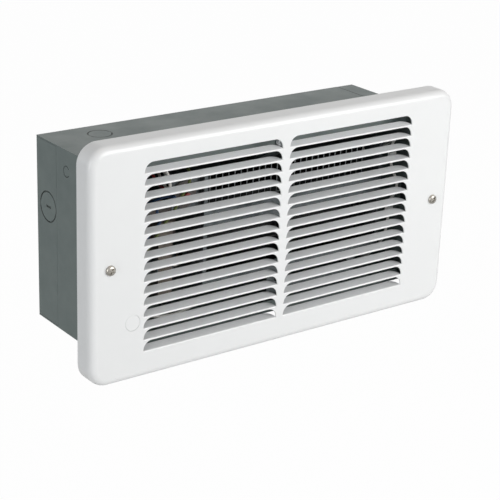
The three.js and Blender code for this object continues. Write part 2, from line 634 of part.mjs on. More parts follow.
// A place beside the wheel in Y and Z, at an angle in degrees and a gap from the wheel.
function aroundWheel(degrees, gap) {
  const angle = THREE.MathUtils.degToRad(degrees);
  const reach = WHEEL_RADIUS + gap;
  return [AXIS_Y + reach * Math.cos(angle), AXIS_Z + reach * Math.sin(angle)];
}

// The back of the blower housing: a spiral round the wheel, up the back and forward over the outlet.
function blowerScroll() {
  const { spiral, corner } = SCROLL_STEPS;
  const line = [[MODULE_FRONT + FIT + MODULE_SHEET / 2, PANEL_BOTTOM + MODULE_SHEET]];
  for (let i = 0; i <= spiral; i += 1) {
    const gap = THREE.MathUtils.lerp(SCROLL_GAP.narrow, SCROLL_GAP.wide, i / spiral);
    line.push(aroundWheel(THREE.MathUtils.lerp(...SCROLL_DEGREES, i / spiral), gap));
  }
  const cornerY = line.at(-1)[0] - SCROLL_CORNER;
  const topZ = MODULE_TOP - MODULE_SHEET / 2;
  const cornerZ = topZ - SCROLL_CORNER;
  for (let i = 0; i <= corner; i += 1) {
    const angle = (i / corner) * QUARTER;
    line.push([cornerY + SCROLL_CORNER * Math.cos(angle), cornerZ + SCROLL_CORNER * Math.sin(angle)]);
  }
  line.push([MODULE_FRONT + FIT, topZ]);
  return plateAlongX(bentSheet(line, MODULE_SHEET), [INNER_LEFT, INNER_RIGHT]);
}

// The tongue between the outlet and the intake, bent from a flange behind the front panel.
function cutoffTongue() {
  const { knee, tip } = TONGUE_DEGREES;
  const y = MODULE_FRONT + FIT + MODULE_SHEET / 2;
  const flange = [[y, INTAKE.top + TONGUE_LAP], [y, OUTLET.bottom - TONGUE_RISE]];
  const line = [...flange, aroundWheel(knee, TONGUE_GAP), aroundWheel(tip, TONGUE_GAP)];
  return plateAlongX(bentSheet(line, MODULE_SHEET), [INNER_LEFT, INNER_RIGHT]);
}

// An angle on the can's floor, in line with the front panel. Two ears rise to the panel.
function baseAngle() {
  const { sheet, foot, ear } = BASE_ANGLE;
  const [left, right] = [MODULE_LEFT + BASE_ANGLE.left, MODULE_RIGHT - BASE_ANGLE.right];
  const top = PANEL_BOTTOM - BASE_ANGLE.below;
  const front = MODULE_FRONT - MODULE_SHEET;
  const y = [front, front + sheet];
  const earZ = [top - INTO, PANEL_BOTTOM - FIT];
  return join(
    block([left, right], y, [FLOOR, top]),
    block([left, right], [front, front + foot], [FLOOR, FLOOR + sheet]),
    block([left, left + ear], y, earZ),
    block([right - ear, right], y, earZ),
  );
}

// A bent tab that hangs the module's top from the can's top lip.
function topHanger() {
  const { width, sheet, seat, below, behind } = HANGER;
  const lipBack = -CAN_DEPTH + CAN_SHEET + sheet / 2;
  const top = HALF_HEIGHT - CAN_SHEET - FIT;
  const seatZ = MODULE_TOP + sheet / 2;
  const seatFront = MODULE_FRONT + behind;
  const line = [[lipBack, top], [lipBack, top - below], [seatFront, seatZ], [seatFront + seat, seatZ]];
  const hole = rod("y", SCREW_HOLE, [-CAN_DEPTH, -CAN_DEPTH + CAN_LIP], [MODULE_SCREW_X, MODULE_SCREW_Z]);
  return cut(plateAlongX(bentSheet(line, sheet), [MODULE_SCREW_X - width / 2, MODULE_SCREW_X + width / 2]), hole);
}

// Upright wires between two level ones, across the outlet.
function wireGuard() {
  const half = GUARD_WIRE / 2;
  const y = [GUARD_Y - half, GUARD_Y + half];
  const ends = [INNER_LEFT, INNER_RIGHT];
  const levels = [OUTLET.bottom - TONGUE_RISE, OUTLET.top];
  const level = levels.map((z) => block(ends, y, [z - half, z + half]));
  const first = MODULE_LEFT + GUARD_MARGIN;
  const count = Math.floor((MODULE_RIGHT - GUARD_MARGIN - first) / GUARD_PITCH) + 1;
  const uprights = Array.from({ length: count }, (_, i) => {
    const x = first + i * GUARD_PITCH;
    return block([x - half, x + half], y, levels);
  });
  return join(...level, ...uprights);
}

// A half ring in the level plane, open to the right.
class ReturnBend extends THREE.Curve {
  constructor(x, y, z, radius) {
    super();
    Object.assign(this, { x, y, z, radius });
  }
  getPoint(t, target = new THREE.Vector3()) {
    const angle = (1 + 2 * t) * QUARTER;
    return target.set(this.x + this.radius * Math.cos(angle), this.y + this.radius * Math.sin(angle), this.z);
  }
}

function tubeAlong(curve, radius, steps, sides) {
  const circle = new THREE.Shape().absarc(0, 0, radius, 0, 4 * QUARTER);
  return solid(new THREE.ExtrudeGeometry(circle, { extrudePath: curve, steps, curveSegments: sides / 2 }));
}

// A sheathed element in two passes joined by a return bend, under one row of fins. Its pins leave at the right.
function heatingElement() {
  const middle = (PASSES.front + PASSES.rear) / 2;
  const half = (PASSES.rear - PASSES.front) / 2;
  const end = MODULE_RIGHT + SHEATH_OUT;
  const sides = 8;
  const passes = Object.values(PASSES).flatMap((y) => [
    rod("x", SHEATH_RADIUS, [RETURN_BEND_AT - INTO, end], [y, ELEMENT_Z], sides),
    rod("x", TERMINAL.radius, [end - INTO, end + TERMINAL.length], [y, ELEMENT_Z], sides),
  ]);
  const bend = tubeAlong(new ReturnBend(RETURN_BEND_AT, middle, ELEMENT_Z, half), SHEATH_RADIUS, 8, sides);
  const first = MODULE_LEFT + FIN.left;
  const count = Math.round((MODULE_RIGHT - FIN.right - first) / FIN.pitch) + 1;
  const finY = [PASSES.front - FIN.margin, PASSES.rear + FIN.margin];
  const finZ = [ELEMENT_Z - FIN.height / 2, ELEMENT_Z + FIN.height / 2];
  const fins = Array.from({ length: count }, (_, i) => {
    const x = first + i * FIN.pitch;
    return block([x - FIN.thickness / 2, x + FIN.thickness / 2], finY, finZ);
  });
  return join(...passes, bend, ...fins);
}

// A ceramic sleeve that carries the sheath through the housing side. It lies on the X axis.
function elementBushing() {
  const bore = SHEATH_RADIUS + FIT;
  return turnedOnX([
    [-MODULE_SHEET - FIT, bore],
    [-MODULE_SHEET - FIT, BUSHING.neck],
    [FIT, BUSHING.neck],
    [FIT, BUSHING.radius],
    [FIT + BUSHING.flange, BUSHING.radius],
    [FIT + BUSHING.flange, bore],
    [-MODULE_SHEET - FIT, bore],
  ]);
}

// A plate hung from the top of the housing, with a hole for each pass.
function elementSupport() {
  const x = [SUPPORT_AT, SUPPORT_AT + MODULE_SHEET];
  const top = MODULE_TOP - MODULE_SHEET - FIT;
  const y = [PASSES.front - FIN.margin, PASSES.rear + FIN.margin];
  const plate = block(x, y, [ELEMENT_Z - FIN.height / 2, top]);
  const flange = block([x[0] - LAP, x[1]], y, [top - MODULE_SHEET, top]);
  const through = [x[0] - PAST, x[1] + PAST];
  const holes = Object.values(PASSES).map((at) => rod("x", SHEATH_RADIUS + FIT, through, [at, ELEMENT_Z], 12));
  return cut(join(plate, flange), ...holes);
}

// The cross-flow wheel on the X axis: blades between three discs, with a hub inside each end disc.
function blowerWheel() {
  const [left, right] = [WHEEL_LEFT, WHEEL_RIGHT];
  const inner = WHEEL_RADIUS - BLADE_RING;
  const middle = (left + right) / 2;
  const disc = (x) => rod("x", WHEEL_RADIUS, [x, x + WHEEL_DISC], [0, 0], 48);
  const ring = cut(disc(middle), rod("x", inner, [middle - PAST, middle + WHEEL_DISC + PAST]));
  const hubs = [rod("x", HUB_RADIUS, [left, left + HUB_LENGTH]), rod("x", HUB_RADIUS, [right - HUB_LENGTH, right])];
  const blades = Array.from({ length: BLADE.count }, (_, i) => {
    const blade = new THREE.BoxGeometry(right - left - WHEEL_DISC, BLADE.sheet, BLADE.chord);
    blade.rotateX(BLADE.tilt).translate(middle, 0, (inner + WHEEL_RADIUS) / 2 - BLADE.inset);
    return solid(blade.rotateX((i / BLADE.count) * 4 * QUARTER));
  });
  const bore = SHAFT_RADIUS + HELD_CLEARANCE;
  return cut(
    join(disc(left), disc(right - WHEEL_DISC), ring, ...hubs, ...blades),
    rod("x", bore, [left - PAST, left + HUB_LENGTH + PAST]),
    rod("x", bore, [right - HUB_LENGTH - PAST, right + PAST]),
  );
}

// The motor's stack, in the shaft's frame: a pole block with the rotor's bore, two legs and the core above them.
function statorLaminations() {
  const x = [STACK_LEFT, STACK_RIGHT];
  const half = STACK_DEPTH / 2;
  const top = CORE_Z[1];
  const through = [x[0] - PAST, x[1] + PAST];
  const bore = rod("x", ROTOR_RADIUS + AIR_GAP, through);
  const screwHoles = [-MOTOR_SCREW_OUT, MOTOR_SCREW_OUT].map((out) => rod("x", MOTOR_SCREW_HOLE, through, [out, 0]));
  const window = block(through, [-half + STACK_LEG, half - STACK_LEG], [POLE_ABOVE, CORE_Z[0]]);
  return cut(block(x, [-half, half], [-STACK_BELOW, top]), bore, window, ...screwHoles);
}

// A square sleeve round the core, from one distance off it to another, and as long along Y as given.
function coreSleeve(inner, outer, length) {
  const outline = (gap) => [
    [STACK_LEFT - gap, STACK_RIGHT + gap],
    [CORE_Z[0] - gap, CORE_Z[1] + gap],
  ];
  const [outX, outZ] = outline(outer);
  const [inX, inZ] = outline(inner);
  return cut(block(outX, [-length / 2, length / 2], outZ), block(inX, [-length, length], inZ));
}

function coilBobbin() {
  const cheekOuter = FIT + BOBBIN_WALL + COIL_WALL;
  const cheeks = [-1, 1].map((side) =>
    placed(coreSleeve(FIT, cheekOuter, BOBBIN_WALL), [0, (side * (COIL_SPACE - BOBBIN_WALL)) / 2, 0]),
  );
  return join(coreSleeve(FIT, FIT + BOBBIN_WALL, COIL_SPACE - BOBBIN_WALL), ...cheeks);
}

function statorCoil() {
  const inner = 2 * FIT + BOBBIN_WALL;
  return coreSleeve(inner, FIT + BOBBIN_WALL + COIL_WALL, COIL_SPACE - 2 * BOBBIN_WALL - 2 * FIT);
}

// A hat-shaped strap over one face of the stack, in the shaft's frame. side is -1 at the left, +1 at the right.
function motorStrap(side) {
  const face = side < 0 ? STACK_LEFT : STACK_RIGHT;
  const { half, foot, sheet, width, rise, slope } = STRAP;
  const low = face + (side * sheet) / 2;
  const high = low + side * rise;
  const rising = [[low, -half - foot], [low, -half], [high, -half + slope]];
  const falling = rising.map(([x, y]) => [x, -y]).reverse();
  const outline = bentSheet([...rising, ...falling], sheet);
  const hat = new THREE.ExtrudeGeometry(outline, { depth: width, bevelEnabled: false });
  const reach = [face - 2 * rise, face + 2 * rise];
  return cut(
    solid(hat.translate(0, 0, -width / 2)),
    rod("x", BEARING.radius + FIT / 2, reach),
    rod("x", MOTOR_SCREW_HOLE, reach, [-MOTOR_SCREW_OUT, 0]),
    rod("x", MOTOR_SCREW_HOLE, reach, [MOTOR_SCREW_OUT, 0]),
  );
}

// The rotor: a core between two end rings, on the shaft.
function motorRotor() {
  const bore = SHAFT_RADIUS + HELD_CLEARANCE;
  const { length, step } = ROTOR_END_RING;
  const ring = ROTOR_RADIUS - step;
  return turnedOnX([
    [STACK_LEFT - length, bore],
    [STACK_LEFT - length, ring],
    [STACK_LEFT, ring],
    [STACK_LEFT, ROTOR_RADIUS],
    [STACK_RIGHT, ROTOR_RADIUS],
    [STACK_RIGHT, ring],
    [STACK_RIGHT + length, ring],
    [STACK_RIGHT + length, bore],
    [STACK_LEFT - length, bore],
  ]);
}

// A plain bearing sleeve on the X axis.
function bearingSleeve(from) {
  const { radius, length } = BEARING;
  const bore = SHAFT_RADIUS + TURNING_CLEARANCE;
  return turnedOnX([
    [from, bore],
    [from, radius],
    [from + length, radius],
    [from + length, bore],
    [from, bore],
  ]);
}

// A long screw through the straps, the stack and a spacer, into the housing side. Its head is at the left.
function motorScrew() {
  const { radius, height, flatRadius, sideHeight } = MOTOR_SCREW_HEAD;
  const seat = STACK_LEFT - STRAP.sheet;
  const tip = MODULE_LEFT + MODULE_SHEET + MOTOR_SCREW_PROUD;
  return turnedOnX(
    [
      [seat - height, 0],
      [seat - height, flatRadius],
      [seat - sideHeight, radius],
      [seat, radius],
      [seat, MOTOR_SCREW_RADIUS],
      [tip, MOTOR_SCREW_RADIUS],
      [tip, 0],
    ],
    16,
  );
}

function motorSpacer() {
  const ends = [STACK_RIGHT + STRAP.sheet, MODULE_LEFT];
  const through = [ends[0] - PAST, ends[1] + PAST];
  return cut(rod("x", SPACER_RADIUS, ends, [0, 0], 16), rod("x", MOTOR_SCREW_HOLE, through, [0, 0], 16));
}

// A rubber ring, grooved for the housing side, round the free end's bearing.
function bearingGrommet() {
  const bore = BEARING.radius + FIT / 2;
  const middle = MODULE_RIGHT - MODULE_SHEET / 2;
  const [back, out] = [middle - GROMMET_LENGTH / 2, middle + GROMMET_LENGTH / 2];
  const groove = [MODULE_RIGHT - MODULE_SHEET - FIT / 2, MODULE_RIGHT + FIT / 2];
  return turnedOnX([
    [back, bore],
    [back, GROMMET_RADIUS],
    [groove[0], GROMMET_RADIUS],
    [groove[0], GROMMET_GROOVE],
    [groove[1], GROMMET_GROOVE],
    [groove[1], GROMMET_RADIUS],
    [out, GROMMET_RADIUS],
    [out, bore],
    [back, bore],
  ]);
}

// The plate beside the outlet that carries the limit switch, bent from a flange on the left housing side.
function limitBracket() {
  const { width, height, sheet, flange } = LIMIT_PLATE;
  const { x, y, z } = LIMIT_AT;
  const upright = [z - height / 2, z + height / 2];
  const right = MODULE_LEFT - FIT;
  return cut(
    join(
      block([right - width, right], [y, y + sheet], upright),
      block([right - sheet, right], [y, y + flange], upright),
    ),
    rod("y", LIMIT.radius + FIT, [y - PAST, y + sheet + PAST], [x, z]),
  );
}

// The limit switch in its own frame: its rim's back face at y = 0, the button's bore open to the front.
function limitSwitch() {
  const bore = BUTTON.radius + TURNING_CLEARANCE;
  const boreDepth = BUTTON.seated + BUTTON.travel + BUTTON.spare;
  const body = turnedOnY([
    [boreDepth - LIMIT.rim, 0],
    [boreDepth - LIMIT.rim, bore],
    [-LIMIT.rim, bore],
    [-LIMIT.rim, LIMIT.flange],
    [0, LIMIT.flange],
    [0, LIMIT.radius],
    [LIMIT.depth, LIMIT.radius],
    [LIMIT.depth, 0],
  ]);
  const { length, width, sheet, apart } = TERMINAL_BLADE;
  const bladeY = [LIMIT.depth - INTO, LIMIT.depth + length];
  const blades = [-apart / 2, apart / 2].map((x) =>
    block([x - sheet / 2, x + sheet / 2], bladeY, [-width / 2, width / 2]),
  );
  return join(body, ...blades);
}

// The reset button, in the limit switch's frame.
function resetButton() {
  const { radius, proud, seated, edge } = BUTTON;
  const front = -LIMIT.rim - proud;
  return turnedOnY([
    [front, 0],
    [front, radius - edge],
    [front + edge, radius],
    [seated - LIMIT.rim, radius],
    [seated - LIMIT.rim, 0],
  ]);
}

// A lead along hand-chosen points.
function lead(points, steps) {
  const route = new THREE.CatmullRomCurve3(points.map((p) => new THREE.Vector3(...p)), false, "centripetal");
  return tubeAlong(route, LEAD_RADIUS, steps, 6);
}

// An upright white sleeve over the joint of two leads.
function connectorSleeve() {
  const { length, width, depth } = CONNECTOR;
  return cut(
    block([-width / 2, width / 2], [-depth / 2, depth / 2], [-length / 2, length / 2]),
    rod("z", LEAD_RADIUS + FIT, [-length, length], [0, 0], 12),
  );
}

// A twist-on wire nut standing on its tip, with its mouth up. holes are the leads' places across X.
function wireNut(holes) {
  const { radius, tip, height, bore } = WIRE_NUT;
  const cone = new THREE.CylinderGeometry(radius, tip, height, 12);
  const bores = holes.map((x) => rod("z", LEAD_RADIUS + FIT, [height - bore, height + PAST], [x, 0], 12));
  return cut(solid(cone.rotateX(QUARTER).translate(0, 0, height / 2)), ...bores);
}

const cover = groupAt(
  0,
  FACE_Y,
  COVER_LIFT,
  piece("grille_cover", grilleCover(), FINISH.whiteEnamel),
  groupAt(-SCREW_X, 0, 0, piece("cover_screw_left", panHeadScrew(SCREW_LENGTH), FINISH.nickel)),
  groupAt(SCREW_X, 0, 0, piece("cover_screw_right", panHeadScrew(SCREW_LENGTH), FINISH.nickel)),
  groupAt(PLUG_AT.x, 0, PLUG_AT.z, piece("thermostat_hole_plug", holePlug(), FINISH.whiteEnamel)),
);

const groundScrew = placed(panHeadScrew(GROUND_SCREW_LENGTH), [0, 0, 0], [-QUARTER, 0, 0]);
const can = groupAt(
  0,
  0,
  0,
  piece("can_body", canBody(), FINISH.greyPaint),
  piece("can_right_end", canRightEnd(), FINISH.greyPaint),
  piece("can_back", canBack(), FINISH.greyPaint),
  piece("grille_bracket_left", grilleBracket(-1), FINISH.galvanised),
  piece("grille_bracket_right", grilleBracket(1), FINISH.galvanised),
  groupAt(GROUND_SCREW_X, GROUND_SCREW_Y, FLOOR, piece("ground_screw", groundScrew, FINISH.greenYellow)),
);

const housing = groupAt(
  0,
  0,
  0,
  piece("front_panel", frontPanel(), FINISH.galvanised),
  piece("housing_side_left", housingSideLeft(), FINISH.galvanised),
  piece("housing_side_right", housingSideRight(), FINISH.galvanised),
  piece("blower_scroll", blowerScroll(), FINISH.galvanised),
  piece("cutoff_tongue", cutoffTongue(), FINISH.galvanised),
  piece("base_angle", baseAngle(), FINISH.galvanised),
  piece("top_hanger", topHanger(), FINISH.galvanised),
  piece("wire_guard", wireGuard(), FINISH.nickel),
  piece("heating_element", heatingElement(), FINISH.blackSteel),
  piece("element_support", elementSupport(), FINISH.galvanised),
  piece("limit_bracket", limitBracket(), FINISH.galvanised),
  groupAt(MODULE_RIGHT, PASSES.front, ELEMENT_Z, piece("element_bushing_front", elementBushing(), FINISH.ceramic)),
  groupAt(MODULE_RIGHT, PASSES.rear, ELEMENT_Z, piece("element_bushing_rear", elementBushing(), FINISH.ceramic)),
  groupAt(
    MODULE_SCREW_X,
    -CAN_DEPTH,
    MODULE_SCREW_Z,
    piece("module_screw", panHeadScrew(MODULE_SCREW_LENGTH), FINISH.nickel),
  ),
);

const shaftFrom = STACK_LEFT - STRAP.rise - STRAP.sheet - SHAFT_STICK_OUT;
const pinFrom = WHEEL_RIGHT - HUB_LENGTH;
const strapBearing = (face, side) => face + side * (STRAP.rise + STRAP.sheet / 2) - BEARING.length / 2;
const motor = groupAt(
  0,
  AXIS_Y,
  AXIS_Z,
  piece("stator_laminations", statorLaminations(), FINISH.laminations),
  piece("coil_bobbin", coilBobbin(), FINISH.phenolic),
  piece("stator_coil", statorCoil(), FINISH.copper),
  piece("motor_bracket_outer", motorStrap(-1), FINISH.galvanised),
  piece("motor_bracket_inner", motorStrap(1), FINISH.galvanised),
  piece("bearing_outer", bearingSleeve(strapBearing(STACK_LEFT, -1)), FINISH.bronze),
  piece("bearing_inner", bearingSleeve(strapBearing(STACK_RIGHT, 1)), FINISH.bronze),
  groupAt(0, -MOTOR_SCREW_OUT, 0, piece("motor_screw_front", motorScrew(), FINISH.nickel)),
  groupAt(0, MOTOR_SCREW_OUT, 0, piece("motor_screw_rear", motorScrew(), FINISH.nickel)),
  groupAt(0, -MOTOR_SCREW_OUT, 0, piece("motor_spacer_front", motorSpacer(), FINISH.nickel)),
  groupAt(0, MOTOR_SCREW_OUT, 0, piece("motor_spacer_rear", motorSpacer(), FINISH.nickel)),
  piece("motor_rotor", motorRotor(), FINISH.laminations),
  piece("motor_shaft", rod("x", SHAFT_RADIUS, [shaftFrom, WHEEL_LEFT + HUB_LENGTH]), FINISH.nickel),
  piece("blower_wheel", blowerWheel(), FINISH.blackSteel),
  piece("wheel_pin", rod("x", SHAFT_RADIUS, [pinFrom, pinFrom + PIN_LENGTH]), FINISH.nickel),
  piece("wheel_bearing", bearingSleeve(MODULE_RIGHT - MODULE_SHEET / 2 - BEARING.length / 2), FINISH.bronze),
  piece("bearing_grommet", bearingGrommet(), FINISH.rubber),
);

const limit = groupAt(
  LIMIT_AT.x,
  LIMIT_AT.y,
  LIMIT_AT.z,
  piece("limit_switch", limitSwitch(), FINISH.phenolic),
  piece("reset_button", resetButton(), FINISH.red),
);

const LEAD_FINISH = { lead_red: FINISH.red, lead_blue: FINISH.blue, lead_ground: FINISH.greenYellow };
const leads = Object.entries(ROUTES).map(([name, points]) =>
  piece(name, lead(points, LEAD_STEPS[name]), LEAD_FINISH[name] ?? FINISH.white),
);
const middleOf = ([a], [b]) => [(a[0] + b[0]) / 2, (a[1] + b[1]) / 2, (a[2] + b[2]) / 2];
const upperJoint = middleOf(ROUTES.lead_element.slice(-1), ROUTES.lead_link);
const lowerJoint = middleOf(ROUTES.lead_link.slice(-1), ROUTES.lead_return);
const wiring = groupAt(
  0,
  0,
  0,
  ...leads,
  groupAt(...upperJoint, piece("connector_upper", connectorSleeve(), FINISH.nylon)),
  groupAt(...lowerJoint, piece("connector_lower", connectorSleeve(), FINISH.nylon)),
  groupAt(NUT_LINE_X, NUTS_Y, FLOOR, piece("wire_nut_line", wireNut([0]), FINISH.phenolic)),
  groupAt(NUT_NEUTRAL_X, NUTS_Y, FLOOR, piece("wire_nut_neutral", wireNut([-NUT_PAIR, NUT_PAIR]), FINISH.phenolic)),
);

export default groupAt(0, 0, 0, cover, can, housing, motor, limit, wiring);
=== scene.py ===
"""A wall fan heater: a white enamelled louvre cover on a grey painted wall can, with the blower and the
element in it.

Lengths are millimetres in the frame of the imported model, except where a comment says metres. +X is right seen
from the room, +Y goes into the wall and +Z is up. The origin is the middle of the can's back.
"""

import math

import bmesh
import bpy
from mathutils import Matrix, Vector


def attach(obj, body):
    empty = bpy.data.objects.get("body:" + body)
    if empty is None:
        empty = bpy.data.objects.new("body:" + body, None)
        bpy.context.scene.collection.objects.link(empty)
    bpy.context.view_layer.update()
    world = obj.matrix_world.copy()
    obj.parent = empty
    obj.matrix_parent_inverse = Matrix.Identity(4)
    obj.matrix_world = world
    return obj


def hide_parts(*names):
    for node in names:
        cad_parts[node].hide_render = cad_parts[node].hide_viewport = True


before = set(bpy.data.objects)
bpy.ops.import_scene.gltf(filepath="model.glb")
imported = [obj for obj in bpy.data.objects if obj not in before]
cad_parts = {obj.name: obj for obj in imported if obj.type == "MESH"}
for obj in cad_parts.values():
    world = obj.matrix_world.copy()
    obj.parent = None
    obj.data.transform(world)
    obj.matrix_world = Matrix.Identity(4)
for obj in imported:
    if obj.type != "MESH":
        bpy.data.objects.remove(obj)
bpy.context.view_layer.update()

MM = 0.001
QUARTER = math.pi / 2

# How near a place counts as on it, and how far a cutter runs past what it cuts
NEAR = 0.01
OVERRUN = 1

# Cover: the places of its face and of its back edge on Y, and of its middle on Z
FACE_Y = -128.8
WALL_Y = -107.5
LIFT = 1.1
COVER_WIDTH = 405.4
COVER_HEIGHT = 217
COVER_SHEET = 1.2
COVER_CORNER = 18.5
COVER_EDGE = 7
THROUGH_FACE = (FACE_Y - 2 * OVERRUN, FACE_Y + COVER_SHEET + 2 * OVERRUN)

# Slots: a column on each side of the centre bar, with round upper corners
SLOT_LENGTH = 145.2
SLOT_HEIGHT = 10.5
SLOT_PITCH = 10.9
SLOT_ROWS = 16
SLOT_ROUND = 8.9
SLOT_TOP = 90.9
CENTRE_BAR = 7.9
SLOT_FOOT = SLOT_TOP - SLOT_HEIGHT
SLOT_LEFT = -CENTRE_BAR / 2 - SLOT_LENGTH

# Louvres: how far the bend's centre lies behind the face, the bend's angle in degrees, the flat past it with
# the rounding of its corners, the strip of the bar that the bend starts from, and the room at the slot's ends
LOUVRE_BEND = 1.2
LOUVRE_TURN = 81.5
LOUVRE_FLAT = 9.4
LOUVRE_ROUND = 8.6
LOUVRE_SHEET = 1.16
LOUVRE_ROOT = 0.25
LOUVRE_ROOM = 0.1

# Hole plug: a disc flush with the face, and behind the sheet a flange that is "flange" wider. "disc" and
# "back" are how far each reaches behind the face
PLUG = {
    "at": (-160.2, -52.4), "radius": 7.35, "gap": 0.15, "disc": 1.3, "edge": 0.35, "flange": 2.2, "back": 2.4,
}

# Can: the upper side of its floor, and its open slits, which are the seam's place on X and each knockout's
# centre and radius, with the half width of the painted shade along them
CAN_FLOOR = -85.45
SEAM_X = 161.9
KNOCKOUTS = (((-131, -25, 86.65), 11.2), ((-181.4, -19.8, 25), 14.2))
SLIT_SHADE_HALF = 0.55

# Rounding of the bends and the sheared edges of the sheets, and of the other CAD pieces that are softened
CAN_ROUND = 0.25
END_ROUND = 0.3
MODULE_ROUND = 0.2
STRAP_ROUND = 0.3
STACK_ROUND = 0.4
COIL_ROUND = 2.2
BOBBIN_ROUND = 0.3
SLEEVE_ROUND = 0.9

# Pan-head screws: half widths and depths of the head's slot and cross, and how far inside the head the shank
# starts. A screw's turn is that of its slot, in degrees
HEAD_RADIUS = 4.65
HEAD_HEIGHT = 2.8
HEAD_DOME = 2.1
HEAD_SLOT = {"half": 0.5, "depth": 0.9}
HEAD_CROSS = {"half": 0.6, "depth": 1.3, "reach": 2.5}
SHANK_RADIUS = 2
SHANK_START = -0.5
COVER_SCREW = {"x": 182.6, "hole": 2.3, "length": 27, "turn": 28}
MODULE_SCREW = {"at": (7.6, WALL_Y, 80.3), "length": 9, "turn": -12}
GROUND_SCREW = {"at": (-150, -45, CAN_FLOOR), "length": 1.2, "turn": 40}

# Wire guard: its place on Y, its uprights from the left, and its level wires' places on Z and ends on X
GUARD = {"y": -84, "radius": 0.42, "left": -58, "pitch": 6.9, "count": 28}
GUARD_LEVELS = (23, 57)
GUARD_ENDS = (-64.7, 141.7)

# Heating element: its height and the two passes' places on Y, its sheath and pins, and its fins, which reach
# past the passes by "margin" and up and down by "rise"
ELEMENT_Z = 40
PASSES = (-66, -44)
SHEATH = {"radius": 4, "ends": (-44, 151)}
PIN = {"radius": 1.6, "ends": (150, 161)}
FIN = {"left": -30.4, "thick": 0.8, "margin": 8, "rise": 11, "corner": 3, "pitch": 7, "count": 23}
COLLAR = {"radius": 5, "length": 2.4}

# Blower wheel: its axis on Y and Z, and a blade that starts "root" above the axis, is twice "half" thick and
# curves through "turn" degrees about a centre given from the axis
AXIS = (-57, -30)
WHEEL_ENDS = (-60, 137)
WHEEL_RADIUS = 25
WHEEL_DISC = 1.2
WHEEL_BORE = 17
HUB = {"radius": 6, "length": 9}
BLADE = {"count": 24, "inset": 0.6, "half": 0.4, "root": 17.4, "centre": (-7.6, 19.6), "turn": 62}

# Limit switch: the back of its rim on Y and its axis on X and Z. "start" and "end" are from the rim's back
LIMIT_Y = -90
LIMIT_AT = (-84, 41)
RIM = {"radius": 13, "thick": 2, "edge": 0.8}
CASE = {"radius": 11, "start": -0.5, "end": 12}
TERMINAL = {"off": 5, "half": 0.4, "rise": 3.1, "start": 11, "end": 20}
BUTTON_BORE = {"radius": 3.1, "end": 4.5}
BUTTON = {"radius": 3, "start": -8, "end": 2, "edge": 0.9}

# Wire nuts: a cone on its tip with a flute in every other side, and a bore for each lead's end
NUT = {"y": -72, "tip": 4.5, "mouth": 7, "height": 24, "sides": 36, "flute_rim": 0.12, "flute_depth": 0.35}
NUT_BORE = {"radius": 1.9, "depth": 9, "off": 1.95}
LINE_NUT_X = -160
NEUTRAL_NUT_X = -142

# Leads: the sides of their tubes, and which of them are the stripe of the ground lead
LEAD_RADIUS = 1.35
LEAD_SIDES = 8
STRIPE = (0, 4)

# The routes' points were listed and are the same as in the part's source
ROUTES = {
    "lead_red": [
        (-89, -69.6, 41), (-90, -60, 42), (-96, -58, 52), (-104, -74, 61), (-118, -92, 67), (-140, -95, 60),
        (-156, -92, 25), (-160, -82, -25), (-160, -73, -50), (-160, -72, -60), (-160, -72, -70),
    ],
    "lead_blue": [
        (-113.7, -57, 6), (-119, -57, 7), (-121, -66, 20), (-108, -84, 38), (-98, -97, 43),
        (-107, -101, 41), (-117, -100, 37), (-116, -98, 30), (-112, -97, 25), (-124, -96, 10),
        (-140, -92, -18), (-144, -80, -42), (-143.95, -73, -53), (-143.95, -72, -61), (-143.95, -72, -70),
    ],
    "lead_ground": [
        (-66.9, -40, 53), (-70, -40, 53), (-73, -56, 60), (-76, -86, 61), (-83, -98, 55), (-91, -98, 42),
        (-99, -97, 29), (-108, -96, 18), (-122, -90, -6), (-136, -70, -45), (-146, -48, -70),
        (-150, -45, -78), (-150, -45, -82),
    ],
    "lead_white": [
        (-79, -69.6, 41), (-79, -61, 43), (-84, -54, 54), (-97, -72, 53), (-103, -96, 51), (-106, -101, 60),
        (-109, -98, 71), (-104, -76, 78), (-80, -40, 74), (-40, -14, 68), (40, -10, 68), (120, -10, 68),
        (160, -16, 62), (172, -30, 48), (171, -42, 41), (163, -44, 40), (161.4, -44, 40),
    ],
    "lead_element": [
        (161.4, -66, 40), (168, -67, 41), (170, -80, 50), (162, -93, 57), (155, -97, 53), (155, -97, 43),
    ],
    "lead_link": [
        (155, -97, 39), (155, -97, 33), (161, -95, 22), (167, -94, 9), (163, -95, 0), (157, -96.8, -5),
        (156, -97, -8.5), (156, -97, -12),
    ],
    "lead_return": [
        (156, -97, -14), (156, -97, -18), (156, -96, -26), (158, -88, -48), (152, -70, -72),
        (120, -62, -79), (40, -70, -78), (-40, -70, -78), (-100, -84, -76), (-126, -88, -64),
        (-136, -82, -50), (-140.05, -74, -50), (-140.05, -72, -60), (-140.05, -72, -70),
    ],
}

# Camera, solved from the photograph, with its turns in degrees
CAMERA_AT = (-797.2, -1147.0, 475.5)
CAMERA_TURN = -36.753
CAMERA_TILT = 69.129
CAMERA_ROLL = 2.078
CAMERA_LENS = 108.98
CAMERA_SENSOR = 36

# Studio, in metres and watts: a floor and a dim sky that the camera sees as white, and three softboxes
PAPER = {"size": 24, "at": (0, 2, -0.36), "colour": "#F4F4F3", "seen_white": 0.98}
SKY = {"colour": "#E2E9EE", "strength": 0.27}
LAMP_AIM = (0, -0.1, 0)
LAMPS = {
    "front_box": {"at": (1.0, -2.1, 0.7), "size": (1.6, 1.6), "power": 39, "colour": "#FFFEFC"},
    "side_box": {"at": (-2.2, -0.6, 0.4), "size": (1.2, 1.6), "power": 15, "colour": "#FFFFFF"},
    "top_box": {"at": (0.1, -0.3, 2.2), "size": (1.6, 1.2), "power": 3.6, "colour": "#FFDFB8"},
}


# ---------------------------------------------------------------- modelling


